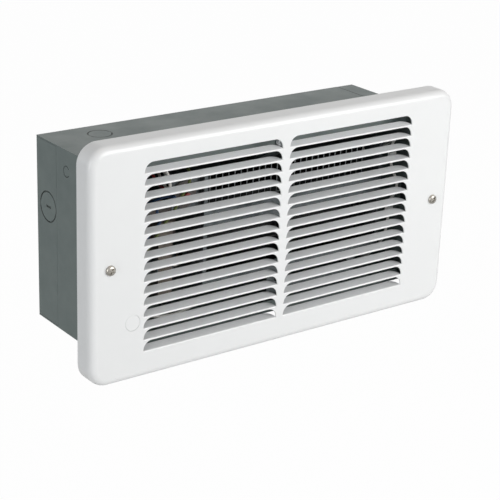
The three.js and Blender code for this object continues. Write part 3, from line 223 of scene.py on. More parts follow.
def metres(place):
    """A place or a step in millimetres as Blender's metres."""
    return [v * MM for v in place]


def alone(piece):
    """Makes one piece the only selected one, and the active one."""
    bpy.ops.object.select_all(action="DESELECT")
    piece.select_set(True)
    bpy.context.view_layer.objects.active = piece
    return piece


def settled(name):
    """Names the new active object and puts its place in its mesh."""
    piece = bpy.context.view_layer.objects.active
    piece.name = piece.data.name = name
    alone(piece)
    bpy.ops.object.transform_apply(location=True, rotation=True, scale=True)
    return piece


def block(name, x, y, z):
    """A box between two places along each axis."""
    bpy.ops.object.select_all(action="DESELECT")
    middle = metres(sum(pair) / 2 for pair in (x, y, z))
    size = metres(pair[1] - pair[0] for pair in (x, y, z))
    bpy.ops.mesh.primitive_cube_add(size=1, location=middle, scale=size)
    return settled(name)


def rod(name, axis, radius, span, at=(0, 0), sides=32, far_radius=None):
    """A round bar along an axis, or a cone with another radius at its far end. at gives its other two places
    in the order of X, Y, Z."""
    bpy.ops.object.select_all(action="DESELECT")
    middle = sum(span) / 2
    place = {"x": (middle, *at), "y": (at[0], middle, at[1]), "z": (*at, middle)}[axis]
    turn = {"x": (0, QUARTER, 0), "y": (-QUARTER, 0, 0), "z": (0, 0, 0)}[axis]
    bpy.ops.mesh.primitive_cone_add(
        vertices=sides,
        radius1=radius * MM,
        radius2=(radius if far_radius is None else far_radius) * MM,
        depth=(span[1] - span[0]) * MM,
        location=metres(place),
        rotation=turn,
    )
    return settled(name)


def strip(name, x, y, z):
    """A flat sheet between two places along X and along one other axis."""
    bpy.ops.object.select_all(action="DESELECT")
    bpy.ops.mesh.primitive_plane_add(size=1, rotation=(0 if z[0] == z[1] else QUARTER, 0, 0))
    piece = bpy.context.view_layer.objects.active
    piece.location = metres(sum(pair) / 2 for pair in (x, y, z))
    piece.scale = ((x[1] - x[0]) * MM, max(y[1] - y[0], z[1] - z[0]) * MM, 1)
    return settled(name)


def pick(piece, kind, test):
    """In edit mode, selects the faces, edges or vertices whose middle, in millimetres, passes the test."""
    alone(piece)
    bpy.ops.object.mode_set(mode="EDIT")
    bpy.ops.mesh.select_mode(type=kind)
    bpy.ops.mesh.select_all(action="DESELECT")
    form = bmesh.from_edit_mesh(piece.data)
    for part in {"VERT": form.verts, "EDGE": form.edges, "FACE": form.faces}[kind]:
        corners = [part] if kind == "VERT" else part.verts
        middle = sum((corner.co for corner in corners), Vector()) / len(corners) / MM
        if test(*middle):
            part.select_set(True)
    form.select_flush_mode()
    bmesh.update_edit_mesh(piece.data)


def leave():
    """Leaves edit mode."""
    bpy.ops.object.mode_set(mode="OBJECT")


def bevelled(piece, test, width, segments, kind="EDGE"):
    """Bevels the edges, or at VERT rounds a sheet's corners, whose middle passes the test."""
    pick(piece, kind, test)
    affect = {"EDGE": "EDGES", "VERT": "VERTICES"}[kind]
    bpy.ops.mesh.bevel(offset=width * MM, segments=segments, affect=affect)
    leave()
    return piece


def modify(piece, kind, **settings):
    """Adds a modifier and applies it."""
    alone(piece)
    change = piece.modifiers.new(kind.lower(), kind)
    for key, value in settings.items():
        setattr(change, key, value)
    bpy.ops.object.modifier_apply(modifier=change.name)
    return piece


def cut_with(piece, *cutters, operation="DIFFERENCE"):
    """Cuts pieces out of one, or joins them to it, and deletes them."""
    for cutter in cutters:
        modify(piece, "BOOLEAN", operation=operation, object=cutter, solver="EXACT")
        bpy.data.objects.remove(cutter, do_unlink=True)
    return piece


def rows(piece, count, step):
    """Repeats a piece along a step in millimetres."""
    return modify(
        piece,
        "ARRAY",
        count=count,
        use_relative_offset=False,
        use_constant_offset=True,
        constant_offset_displace=metres(step),
    )


def merged(piece):
    """Joins doubled points and turns every face outwards."""
    alone(piece)
    bpy.ops.object.mode_set(mode="EDIT")
    bpy.ops.mesh.select_all(action="SELECT")
    bpy.ops.mesh.remove_doubles(threshold=1e-6)
    bpy.ops.mesh.normals_make_consistent(inside=False)
    leave()
    return piece


def joined(name, pieces):
    """Several pieces as one object."""
    bpy.ops.object.select_all(action="DESELECT")
    for piece in pieces:
        piece.select_set(True)
    bpy.context.view_layer.objects.active = pieces[0]
    bpy.ops.object.join()
    pieces[0].name = pieces[0].data.name = name
    return pieces[0]


def copied(piece, name, change):
    """A copy with its own mesh, moved by a matrix."""
    twin = piece.copy()
    twin.data = piece.data.copy()
    bpy.context.scene.collection.objects.link(twin)
    twin.name = twin.data.name = name
    twin.data.transform(change)
    return twin


def moved(x, y, z):
    """The matrix of a move in millimetres."""
    return Matrix.Translation(Vector((x, y, z)) * MM)


def softened(node, name, width, segments=2):
    """A copy of a CAD node with its flat faces made whole and its edges rounded."""
    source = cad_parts[node]
    piece = source.copy()
    piece.data = source.data.copy()
    bpy.context.scene.collection.objects.link(piece)
    piece.name = piece.data.name = name
    for key in [key for key in piece.keys() if key.startswith("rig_")]:
        del piece[key]
    piece.parent = None
    piece.matrix_world = Matrix.Identity(4)
    piece.hide_render = False
    alone(piece)
    bpy.ops.object.mode_set(mode="EDIT")
    bpy.ops.mesh.select_all(action="SELECT")
    bpy.ops.mesh.remove_doubles(threshold=2e-6)
    bpy.ops.mesh.dissolve_limited(angle_limit=math.radians(1))
    leave()
    return modify(
        piece,
        "BEVEL",
        width=width * MM,
        segments=segments,
        limit_method="ANGLE",
        angle_limit=math.radians(40),
        use_clamp_overlap=True,
    )


def dressed(piece, body, finish, slot, *nodes, angle=30):
    """Smooths a piece, gives it its material and its body, and hides the CAD nodes that it stands for."""
    alone(piece)
    bpy.ops.object.shade_smooth_by_angle(angle=math.radians(angle))
    modify(piece, "WEIGHTED_NORMAL", keep_sharp=True)
    piece.data.materials.clear()
    piece.data.materials.append(finish)
    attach(piece, body)
    if nodes:
        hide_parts(*nodes)
    return piece


# ---------------------------------------------------------------- materials


# Sockets of Blender's colour Mix node, which only numbers tell apart
MIX_AMOUNT, MIX_FROM, MIX_TO, MIX_RESULT = 0, 6, 7, 2

# Radians that Blender's Wave texture runs through in one unit of its scaled place
WAVE_RADIANS = 20


def linear(code):
    """An sRGB hex colour as linear RGBA."""
    channels = [int(code[i : i + 2], 16) / 255 for i in (1, 3, 5)]
    return [c / 12.92 if c <= 0.04045 else ((c + 0.055) / 1.055) ** 2.4 for c in channels] + [1]


def add(tree, kind, values=None, links=None, **settings):
    """A node with its settings, its sockets' values and the outputs that lead into it."""
    made = tree.nodes.new(kind)
    for key, value in settings.items():
        setattr(made, key, value)
    for socket, value in (values or {}).items():
        made.inputs[socket].default_value = value
    for socket, source in (links or {}).items():
        tree.links.new(source, made.inputs[socket])
    return made


def finish(name, light, dark, rough, patch, grain, relief, metallic=0.0, cells=False, **shader):
    """A procedural finish. patch and grain are the real sizes, in millimetres, of its colour patches and its
    fine relief, and relief is the height of that. rough gives the lowest and highest roughness. cells makes
    its patches crystals. What else is given goes to the Principled BSDF."""
    made = bpy.data.materials.new(name)
    made.use_nodes = True
    tree = made.node_tree
    principled = tree.nodes["Principled BSDF"]
    principled.inputs["Metallic"].default_value = metallic
    for socket, value in shader.items():
        principled.inputs[socket.replace("_", " ")].default_value = value
    place = {"Vector": add(tree, "ShaderNodeTexCoord").outputs["Object"]}
    if cells:
        pattern = add(tree, "ShaderNodeTexVoronoi", {"Scale": 1 / (patch * MM)}, place)
        level = add(tree, "ShaderNodeSeparateColor", links={"Color": pattern.outputs["Color"]}).outputs["Red"]
    else:
        cloud = {"Scale": 1 / (patch * MM), "Detail": 4, "Roughness": 0.55}
        pattern = add(tree, "ShaderNodeTexNoise", cloud, place)
        spread = {"From Min": 0.3, "From Max": 0.7}
        level = add(tree, "ShaderNodeMapRange", spread, {"Value": pattern.outputs[0]}).outputs["Result"]
    colours = {MIX_FROM: linear(dark), MIX_TO: linear(light)}
    tint = add(tree, "ShaderNodeMix", colours, {MIX_AMOUNT: level}, data_type="RGBA")
    tree.links.new(tint.outputs[MIX_RESULT], principled.inputs["Base Color"])
    polish = add(tree, "ShaderNodeMapRange", {"To Min": rough[1], "To Max": rough[0]}, {"Value": level})
    tree.links.new(polish.outputs["Result"], principled.inputs["Roughness"])
    fine = add(tree, "ShaderNodeTexNoise", {"Scale": 1 / (grain * MM), "Detail": 2}, place)
    height = {"Height": fine.outputs[0]}
    bump = add(tree, "ShaderNodeBump", {"Distance": relief * MM, "Strength": 1}, height)
    tree.links.new(bump.outputs["Normal"], principled.inputs["Normal"])
    return made


def over_colour(made, colour, amount):
    """Mixes a colour over a finish's own, by the amount that an output gives."""
    tree = made.node_tree
    principled = tree.nodes["Principled BSDF"]
    base = principled.inputs["Base Color"].links[0].from_socket
    links = {MIX_AMOUNT: amount, MIX_FROM: base}
    mixed = add(tree, "ShaderNodeMix", {MIX_TO: linear(colour)}, links, data_type="RGBA")
    tree.links.new(mixed.outputs[MIX_RESULT], principled.inputs["Base Color"])


def banded(made, axis, pitch, relief, dark, share):
    """Adds fine parallel lines across an axis to a finish: their pitch and depth in millimetres, and how much
    of the dark colour they take."""
    tree = made.node_tree
    principled = tree.nodes["Principled BSDF"]
    place = {"Vector": add(tree, "ShaderNodeTexCoord").outputs["Object"]}
    scale = {"Scale": 2 * math.pi / (pitch * MM) / WAVE_RADIANS, "Distortion": 0}
    wave = add(tree, "ShaderNodeTexWave", scale, place, bands_direction=axis).outputs["Fac"]
    lines = add(tree, "ShaderNodeMapRange", {"To Min": share, "To Max": 0}, {"Value": wave})
    over_colour(made, dark, lines.outputs["Result"])
    ridges = {"Height": wave, "Normal": principled.inputs["Normal"].links[0].from_socket}
    bump = add(tree, "ShaderNodeBump", {"Distance": relief * MM, "Strength": 1}, ridges)
    tree.links.new(bump.outputs["Normal"], principled.inputs["Normal"])
    return made


def painted_slit_shade(made, dark, share):
    """Paints shade along the seam and round the knockouts, where the open slits lie in shadow."""
    tree = made.node_tree
    place = {0: add(tree, "ShaderNodeTexCoord").outputs["Object"]}
    near = [(add(tree, "ShaderNodeSeparateXYZ", links=place).outputs["X"], SEAM_X)]
    for centre, radius in KNOCKOUTS:
        away = add(tree, "ShaderNodeVectorMath", {1: metres(centre)}, place, operation="DISTANCE")
        near.append((away.outputs["Value"], radius))
    lines = []
    for value, at in near:
        width = {1: at * MM, 2: SLIT_SHADE_HALF * MM}
        lines.append(add(tree, "ShaderNodeMath", width, {0: value}, operation="COMPARE").outputs[0])
    line = lines[0]
    for other in lines[1:]:
        line = add(tree, "ShaderNodeMath", links={0: line, 1: other}, operation="MAXIMUM").outputs[0]
    amount = add(tree, "ShaderNodeMath", {1: share}, {0: line}, operation="MULTIPLY")
    over_colour(made, dark, amount.outputs[0])
    return made


def extruded_pvc(colour, light, dark):
    """The insulation of a lead in one of its colours."""
    name, rough = "extruded_pvc_" + colour, (0.35, 0.48)
    return finish(name, light, dark, rough, patch=7, grain=0.6, relief=0.01, IOR=1.53)


# White baked enamel on pressed steel: an even gloss with a faint orange peel.
ENAMEL = finish(
    "baked_enamel_white", "#EEEFF0", "#EDEEEF", rough=(0.295, 0.305), patch=25, grain=2.2, relief=0.006,
    IOR=1.5, Coat_Weight=0.25, Coat_Roughness=0.12,
)
# Bluish grey air-dried enamel sprayed on the can's sheet: satin, a little cloudy, with painted shade along its
# slits.
CAN_PAINT = painted_slit_shade(
    finish(
        "sprayed_enamel_grey", "#747E7C", "#6B7574", rough=(0.42, 0.55), patch=35, grain=1.1, relief=0.02,
        IOR=1.5,
    ),
    dark="#1C2220",
    share=0.8,
)
# Hot-dip galvanised sheet: dull zinc crystals a few millimetres across.
GALVANISED = finish(
    "galvanised_sheet", "#5E6365", "#4E5355", rough=(0.42, 0.58), patch=5, grain=0.8, relief=0.01,
    metallic=0.75, cells=True,
)
# The same sheet painted darker, as shade in the blower's air channel: dark grey, its crystals still showing.
SHADED_ZINC = finish(
    "galvanised_sheet_painted_shade", "#363838", "#2A2C2D", rough=(0.5, 0.68), patch=6, grain=0.8, relief=0.01,
    metallic=0.5, cells=True,
)
# Zinc plate under a clear chromate, on the module's screw: a mid grey shine.
ZINC_PLATE = finish(
    "zinc_plate_chromated", "#A3A6A8", "#85888A", rough=(0.2, 0.3), patch=3, grain=0.4, relief=0.005,
    metallic=0.9,
)
# Bright nickel plate, polished: warm and mirror-like, with faint draw marks.
NICKEL = finish(
    "nickel_plate", "#BDB9B2", "#9F9B94", rough=(0.1, 0.18), patch=3, grain=0.4, relief=0.004,
    metallic=1.0,
)
# Drawn round wire with zinc plate: a soft grey shine along its length.
WIRE = finish(
    "drawn_wire_zinc", "#9FA2A3", "#8B8E8F", rough=(0.3, 0.42), patch=4, grain=0.5, relief=0.005,
    metallic=0.9,
)
# Steel sheath and fins, oxidised by heat: a dull brownish black.
OXIDISED_STEEL = finish(
    "oxidised_steel", "#1B1918", "#0F0E0F", rough=(0.5, 0.66), patch=8, grain=0.6, relief=0.02,
    metallic=0.7,
)
# Black stoving paint on the stamped wheel: matt, with a weak sheen at its edges.
STOVED_BLACK = finish(
    "stoved_black", "#1C1D1F", "#131415", rough=(0.45, 0.6), patch=10, grain=0.8, relief=0.01, IOR=1.5,
)
# Silicon-steel laminations under brown varnish: fine lines across the stack. Real sheets are 0.5 mm and are
# drawn at 1 mm so that they show.
LAMINATIONS = banded(
    finish(
        "varnished_laminations", "#8A8279", "#6F675F", rough=(0.4, 0.6), patch=9, grain=0.7, relief=0.02,
        metallic=0.45,
    ),
    axis="X",
    pitch=1.0,
    relief=0.12,
    dark="#3A342E",
    share=0.6,
)
# Enamelled copper wire, wound in level turns 0.6 mm apart and drawn at 0.9 mm: reddish brown ridges.
# Its dark lines between the ridges are painted shade in the grooves between the turns.
WINDING = banded(
    finish(
        "enamelled_copper_wire", "#A55E33", "#7F4323", rough=(0.3, 0.42), patch=4, grain=0.5, relief=0.01,
        metallic=0.8,
    ),
    axis="Y",
    pitch=0.9,
    relief=0.25,
    dark="#32180C",
    share=0.55,
)
# Sintered bronze: dull, with fine open pores.
BRONZE = finish(
    "sintered_bronze", "#A37C42", "#876432", rough=(0.4, 0.55), patch=3, grain=0.35, relief=0.03,
    metallic=0.9,
)
# Moulded nylon: milky, with light just under its skin.
NYLON = finish(
    "moulded_nylon", "#F6F5F2", "#EFEDE8", rough=(0.4, 0.5), patch=12, grain=0.9, relief=0.01, IOR=1.53,
    Subsurface_Weight=0.05,
)
# Moulded rubber: matt black with mould bloom.
RUBBER = finish(
    "moulded_rubber", "#242425", "#181819", rough=(0.65, 0.85), patch=5, grain=0.5, relief=0.03, IOR=1.52,
)
# Pressed and fired steatite, unglazed: a dry off-white.
CERAMIC = finish(
    "pressed_steatite", "#EDE8DC", "#DFD8C9", rough=(0.45, 0.6), patch=6, grain=0.6, relief=0.02, IOR=1.6,
)
# Moulded phenolic: dark brown with a low shine.
PHENOLIC = finish(
    "moulded_phenolic", "#33261F", "#231A16", rough=(0.3, 0.42), patch=6, grain=0.8, relief=0.01, IOR=1.6,
)
# Moulded ABS of the button: a clean red with a light gloss.
RED_ABS = finish(
    "moulded_abs_red", "#8E211C", "#7A1A16", rough=(0.28, 0.38), patch=6, grain=0.8, relief=0.008,
    IOR=1.54,
)
# Extruded PVC on the leads: low shine, its colour a little uneven along the lead.
RED_PVC = extruded_pvc("red", "#8C231D", "#761B16")
BLUE_PVC = extruded_pvc("blue", "#2A4468", "#203653")
WHITE_PVC = extruded_pvc("white", "#F3F1EC", "#E9E6DF")
GREEN_PVC = extruded_pvc("green", "#66733A", "#576330")
YELLOW_PVC = extruded_pvc("yellow", "#7D7642", "#6E6838")
# Dyed zinc plate of the ground screw: a metallic green.
GREEN_PLATE = finish(
    "dyed_zinc_plate", "#3F7A45", "#2F6335", rough=(0.25, 0.38), patch=3, grain=0.4, relief=0.005,
    metallic=0.8,
)


# ---------------------------------------------------------------- cover


def slot_row_steps(piece):
    """Repeats a slot's shape in two columns of rows."""
    rows(piece, 2, (SLOT_LENGTH + CENTRE_BAR, 0, 0))
    return rows(piece, SLOT_ROWS, (0, 0, -SLOT_PITCH))


def slot_cutter():
    """All the slots: square at the foot, where the louvre bends away, and round at the top."""
    half = SLOT_LENGTH / 2
    cutter = block("slot", (SLOT_LEFT, SLOT_LEFT + SLOT_LENGTH), THROUGH_FACE, (SLOT_FOOT, SLOT_TOP))

    def at_top_corner(x, y, z):
        return z > SLOT_TOP - NEAR and abs(x - SLOT_LEFT - half) > half - NEAR

    return slot_row_steps(bevelled(cutter, at_top_corner, SLOT_ROUND, segments=10))


def louvre_blades():
    """Each louvre is bent back from the bar under its slot, with round free corners."""
    ends = (SLOT_LEFT + LOUVRE_ROOM, SLOT_LEFT + SLOT_LENGTH - LOUVRE_ROOM)
    middle_y = FACE_Y + COVER_SHEET / 2
    blade = strip("louvre", ends, (middle_y, middle_y), (SLOT_FOOT - LOUVRE_ROOT, SLOT_FOOT))
    pick(blade, "EDGE", lambda x, y, z: z > SLOT_FOOT - NEAR)
    turn = math.radians(LOUVRE_TURN)
    centre = metres((0, FACE_Y + LOUVRE_BEND, SLOT_FOOT))
    bpy.ops.mesh.spin(steps=6, angle=turn, center=centre, axis=(1, 0, 0), use_normal_flip=False)
    reach = Vector((0, math.sin(turn), math.cos(turn))) * LOUVRE_FLAT * MM
    bpy.ops.mesh.extrude_region_move(TRANSFORM_OT_translate={"value": reach})
    leave()
    back = max(v.co.y for v in blade.data.vertices) / MM
    bevelled(blade, lambda x, y, z: y > back - NEAR, LOUVRE_ROUND, segments=8, kind="VERT")
    merged(blade)
    modify(blade, "SOLIDIFY", thickness=LOUVRE_SHEET * MM, offset=0)
    return slot_row_steps(merged(blade))


def louvred_cover():
    """A dished sheet: a box without its back, its corners and edges rounded, with its holes cut."""
    half, high = COVER_WIDTH / 2, COVER_HEIGHT / 2
    cover = block("louvred_cover", (-half, half), (FACE_Y, WALL_Y), (LIFT - high, LIFT + high))
    pick(cover, "FACE", lambda x, y, z: y > WALL_Y - NEAR)
    bpy.ops.mesh.delete(type="FACE")
    leave()

    def at_corner(x, y, z):
        return abs(x) > half - NEAR and abs(z - LIFT) > high - NEAR

    bevelled(cover, at_corner, COVER_CORNER, segments=14)
    bevelled(cover, lambda x, y, z: y < FACE_Y + NEAR, COVER_EDGE, segments=8)
    modify(cover, "SOLIDIFY", thickness=COVER_SHEET * MM, offset=-1, use_even_offset=True)
    hole, away = COVER_SCREW["hole"], COVER_SCREW["x"]
    holes = [rod("hole", "y", hole, THROUGH_FACE, (side * away, LIFT)) for side in (-1, 1)]
    holes.append(rod("hole", "y", PLUG["radius"] + PLUG["gap"], THROUGH_FACE, PLUG["at"], sides=64))
    cut_with(cover, slot_cutter(), *holes)
    whole = joined("louvred_cover", [cover, louvre_blades()])
    return dressed(whole, "can", ENAMEL, "white_enamel", "grille_cover")


def hole_plug():
    """The plug that closes the cover's round hole."""
    radius, at = PLUG["radius"], PLUG["at"]
    disc = rod("hole_plug", "y", radius, (FACE_Y, FACE_Y + PLUG["disc"]), at, sides=64)
    span = (FACE_Y + COVER_SHEET, FACE_Y + PLUG["back"])
    cut_with(disc, rod("flange", "y", radius + PLUG["flange"], span, at, sides=64), operation="UNION")
    bevelled(disc, lambda x, y, z: y < FACE_Y + NEAR, PLUG["edge"], segments=3)
    return dressed(disc, "can", ENAMEL, "white_enamel", "thermostat_hole_plug")


def pan_head(name, length, turn):
    """A pan-head screw along +Y with its seat at the origin, domed, with a cross recess and one long slot."""
    top, over, across = -HEAD_HEIGHT, -HEAD_HEIGHT - OVERRUN, HEAD_RADIUS + OVERRUN
    head = rod(name, "y", HEAD_RADIUS, (top, 0), sides=40)
    bevelled(head, lambda x, y, z: y < top + NEAR, HEAD_DOME, segments=6)
    cut_with(head, rod("shank", "y", SHANK_RADIUS, (SHANK_START, length), sides=24), operation="UNION")
    slot_half, cross_half, cross_reach = HEAD_SLOT["half"], HEAD_CROSS["half"], HEAD_CROSS["reach"]
    depth = (over, top + HEAD_CROSS["depth"])
    long_slot = block("slot", (-across, across), (over, top + HEAD_SLOT["depth"]), (-slot_half, slot_half))
    upright = block("cross", (-cross_half, cross_half), depth, (-cross_reach, cross_reach))
    level = block("cross", (-cross_reach, cross_reach), depth, (-cross_half, cross_half))
    cut_with(head, long_slot, upright, level)
    head.data.transform(Matrix.Rotation(math.radians(turn), 4, "Y"))
    return head


def screws():
    """Two screws through the cover, one in the module's hanger, and the ground screw in the can's floor."""
    left = pan_head("cover_screw_pan_left", COVER_SCREW["length"], COVER_SCREW["turn"])
    right = copied(left, "cover_screw_pan_right", moved(COVER_SCREW["x"], FACE_Y, LIFT))
    left.data.transform(moved(-COVER_SCREW["x"], FACE_Y, LIFT))
    dressed(left, "can", NICKEL, "plated_steel", "cover_screw_left")
    dressed(right, "can", NICKEL, "plated_steel", "cover_screw_right")
    short = pan_head("module_screw_pan", MODULE_SCREW["length"], MODULE_SCREW["turn"])
    short.data.transform(moved(*MODULE_SCREW["at"]))
    dressed(short, "can", ZINC_PLATE, "plated_steel", "module_screw")
    ground = pan_head("ground_screw_pan", GROUND_SCREW["length"], GROUND_SCREW["turn"])
    ground.data.transform(moved(*GROUND_SCREW["at"]) @ Matrix.Rotation(-QUARTER, 4, "X"))
    dressed(ground, "can", GREEN_PLATE, "green_plating", "ground_screw")


# ---------------------------------------------------------------- can and module sheets


def sheets():
    """The can and the module's sheet pieces, with the small radius of their bends and sheared edges."""
    paint = (CAN_PAINT, "grey_paint")
    zinc = (GALVANISED, "galvanised_sheet")
    # The blower's scroll and tongue take a darker copy of the sheet, painted as shade.
    shaded = (SHADED_ZINC, "galvanised_sheet")
    brackets = ("grille_bracket_left", "grille_bracket_right")
    module = ("front_panel", "housing_side_left", "housing_side_right", "base_angle", "top_hanger")
    for width, look, nodes in (
        (CAN_ROUND, paint, ("can_body", "can_back")),
        (END_ROUND, paint, ("can_right_end",)),
        (MODULE_ROUND, zinc, (*brackets, *module, "element_support", "limit_bracket")),
        (STRAP_ROUND, zinc, ("motor_bracket_outer", "motor_bracket_inner")),
        (MODULE_ROUND, shaded, ("blower_scroll", "cutoff_tongue")),
    ):
        for node in nodes:
            dressed(softened(node, node + "_sheet", width), "can", *look, node)


def guard():
    """Round upright wires welded between two level ones."""
    y, radius = GUARD["y"], GUARD["radius"]
    upright = rod("upright", "z", radius, GUARD_LEVELS, (GUARD["left"], y), sides=12)
    rows(upright, GUARD["count"], (GUARD["pitch"], 0, 0))
    level = [rod("level", "x", radius, GUARD_ENDS, (y, z), sides=12) for z in GUARD_LEVELS]
    whole = joined("guard_wires", [upright, *level])
    return dressed(whole, "can", WIRE, "plated_steel", "wire_guard", angle=60)


def element():
    """A sheathed element in two passes with plate fins, each with a collar round the sheath."""
    front, rear = PASSES
    middle, half = (front + rear) / 2, (rear - front) / 2
    left, radius = SHEATH["ends"][0], SHEATH["radius"]
    tubes = [rod("sheath", "x", radius, SHEATH["ends"], (y, ELEMENT_Z), sides=24) for y in PASSES]
    pins = [rod("pin", "x", PIN["radius"], PIN["ends"], (y, ELEMENT_Z), sides=16) for y in PASSES]
    bpy.ops.object.select_all(action="DESELECT")
    start, upright = metres((left, rear, ELEMENT_Z)), (0, QUARTER, 0)
    bpy.ops.mesh.primitive_circle_add(vertices=24, radius=radius * MM, location=start, rotation=upright)
    bend = settled("bend")
    pick(bend, "VERT", lambda x, y, z: True)
    bpy.ops.mesh.spin(steps=16, angle=math.pi, center=metres((left, middle, ELEMENT_Z)), axis=(0, 0, 1))
    leave()
    merged(bend)
    deep, rise = half + FIN["margin"], FIN["rise"]
    plate = (FIN["left"], FIN["left"] + FIN["thick"])
    fin = block("fin", plate, (middle - deep, middle + deep), (ELEMENT_Z - rise, ELEMENT_Z + rise))

    def at_corner(x, y, z):
        return abs(y - middle) > deep - NEAR and abs(z - ELEMENT_Z) > rise - NEAR

    bevelled(fin, at_corner, FIN["corner"], segments=4)
    length = (FIN["left"], FIN["left"] + COLLAR["length"])
    collars = [rod("collar", "x", COLLAR["radius"], length, (y, ELEMENT_Z), sides=20) for y in PASSES]
    fins = rows(joined("fin", [fin, *collars]), FIN["count"], (FIN["pitch"], 0, 0))
    whole = joined("finned_element", [*tubes, *pins, bend, fins])
    return dressed(whole, "can", OXIDISED_STEEL, "element_steel", "heating_element")


def wheel():
    """The cross-flow wheel: curved blades between two end discs and a ring, with a hub at each end."""
    left, right = WHEEL_ENDS
    axis_y, axis_z = AXIS
    half, root, count = BLADE["half"], axis_z + BLADE["root"], BLADE["count"]
    ends = (left + BLADE["inset"], right - BLADE["inset"])
    blade = strip("blade", ends, (axis_y - half, axis_y + half), (root, root))
    pick(blade, "FACE", lambda x, y, z: True)
    centre = metres((0, axis_y + BLADE["centre"][0], axis_z + BLADE["centre"][1]))
    bpy.ops.mesh.spin(steps=7, angle=math.radians(BLADE["turn"]), center=centre, axis=(1, 0, 0))
    leave()
    merged(blade)
    pieces = [blade]
    about = moved(0, axis_y, axis_z)
    for i in range(1, count):
        turn = Matrix.Rotation(i * math.tau / count, 4, "X")
        pieces.append(copied(blade, f"blade_{i}", about @ turn @ about.inverted()))
    for x in (left, right - WHEEL_DISC):
        pieces.append(rod("disc", "x", WHEEL_RADIUS, (x, x + WHEEL_DISC), AXIS, sides=64))
    middle = (left + right) / 2
    ring = rod("ring", "x", WHEEL_RADIUS, (middle, middle + WHEEL_DISC), AXIS, sides=64)
    through = (middle - OVERRUN, middle + WHEEL_DISC + OVERRUN)
    pieces.append(cut_with(ring, rod("bore", "x", WHEEL_BORE, through, AXIS, sides=64)))
    for span in ((left, left + HUB["length"]), (right - HUB["length"], right)):
        pieces.append(rod("hub", "x", HUB["radius"], span, AXIS))
    whole = joined("cross_flow_wheel", pieces)
    return dressed(whole, "blower", STOVED_BLACK, "wheel_paint", "blower_wheel")


# ---------------------------------------------------------------- motor, limit and wiring


def motor():
    """The motor's stack, its winding and the former that this is wound on."""
    stack = softened("stator_laminations", "stator_stack", STACK_ROUND)
    dressed(stack, "can", LAMINATIONS, "stator_steel", "stator_laminations")
    coil = softened("stator_coil", "stator_winding", COIL_ROUND, segments=5)
    dressed(coil, "can", WINDING, "coil_copper", "stator_coil")
    former = softened("coil_bobbin", "coil_former", BOBBIN_ROUND)
    dressed(former, "can", PHENOLIC, "brown_phenolic", "coil_bobbin")


def limit():
    """The limit switch: a rim and a case with two blades behind, and the reset button in its bore."""
    x, z = LIMIT_AT
    front, tip = LIMIT_Y - RIM["thick"], LIMIT_Y + BUTTON["start"]
    rim = rod("limit_control", "y", RIM["radius"], (front, LIMIT_Y), LIMIT_AT, sides=48)
    bevelled(rim, lambda x, y, z: abs(y - front) < NEAR, RIM["edge"], segments=3)
    span = (LIMIT_Y + CASE["start"], LIMIT_Y + CASE["end"])
    case = rod("case", "y", CASE["radius"], span, LIMIT_AT, sides=48)
    half, rise = TERMINAL["half"], TERMINAL["rise"]
    span = (LIMIT_Y + TERMINAL["start"], LIMIT_Y + TERMINAL["end"])
    blades = [
        block("blade", (x + off - half, x + off + half), span, (z - rise, z + rise))
        for off in (-TERMINAL["off"], TERMINAL["off"])
    ]
    cut_with(rim, case, *blades, operation="UNION")
    span = (front - OVERRUN, LIMIT_Y + BUTTON_BORE["end"])
    cut_with(rim, rod("bore", "y", BUTTON_BORE["radius"], span, LIMIT_AT))
    dressed(rim, "can", PHENOLIC, "brown_phenolic", "limit_switch")
    button = rod("reset_button_cap", "y", BUTTON["radius"], (tip, LIMIT_Y + BUTTON["end"]), LIMIT_AT)
    bevelled(button, lambda x, y, z: y < tip + NEAR, BUTTON["edge"], segments=4)
    dressed(button, "button", RED_ABS, "red_plastic", "reset_button")


def wire_nut(name, x, mouths):
    """A twist-on connector standing on its tip: a fluted cone with a bore for each lead."""
    y, sides = NUT["y"], NUT["sides"]
    top, middle = CAN_FLOOR + NUT["height"], CAN_FLOOR + NUT["height"] / 2
    nut = rod(name, "z", NUT["tip"], (CAN_FLOOR, top), (x, y), sides=sides, far_radius=NUT["mouth"])

    def is_flute(face_x, face_y, face_z):
        """Every other side of the cone."""
        angle = math.degrees(math.atan2(face_y - y, face_x - x))
        return abs(face_z - middle) < NEAR and int(angle // (360 / sides)) % 2

    pick(nut, "FACE", is_flute)
    bpy.ops.mesh.inset(thickness=NUT["flute_rim"] * MM, depth=-NUT["flute_depth"] * MM, use_individual=True)
    leave()
    span = (top - NUT_BORE["depth"], top + OVERRUN)
    return cut_with(nut, *[rod("bore", "z", NUT_BORE["radius"], span, (x + m, y), sides=16) for m in mouths])


def nuts():
    """The wire nuts where the supply is joined, and the sleeves on the lead at the right."""
    off = NUT_BORE["off"]
    line = wire_nut("connector_cap_line", LINE_NUT_X, (0,))
    dressed(line, "can", PHENOLIC, "brown_phenolic", "wire_nut_line")
    neutral = wire_nut("connector_cap_neutral", NEUTRAL_NUT_X, (-off, off))
    dressed(neutral, "can", PHENOLIC, "brown_phenolic", "wire_nut_neutral")
    for node in ("connector_upper", "connector_lower"):
        sleeve = softened(node, node + "_sleeve", SLEEVE_ROUND, segments=4)
        dressed(sleeve, "can", NYLON, "white_nylon", node)


def lead(node, insulation, slot):
    """A lead as a round tube on a smooth curve through its route."""
    data = bpy.data.curves.new(node + "_wire", "CURVE")
    data.dimensions = "3D"
    data.bevel_depth = LEAD_RADIUS * MM
    data.bevel_resolution = LEAD_SIDES // 2 - 1
    data.resolution_u = 6
    data.use_fill_caps = True
    points = ROUTES[node]
    line = data.splines.new("BEZIER")
    line.bezier_points.add(len(points) - 1)
    for knot, place in zip(line.bezier_points, points):
        knot.co = Vector(place) * MM
        knot.handle_left_type = knot.handle_right_type = "AUTO"
    piece = bpy.data.objects.new(node + "_wire", data)
    bpy.context.scene.collection.objects.link(piece)
    alone(piece)
    bpy.ops.object.convert(target="MESH")
    piece = bpy.context.view_layer.objects.active
    return dressed(merged(piece), "can", insulation, slot, node, angle=50)


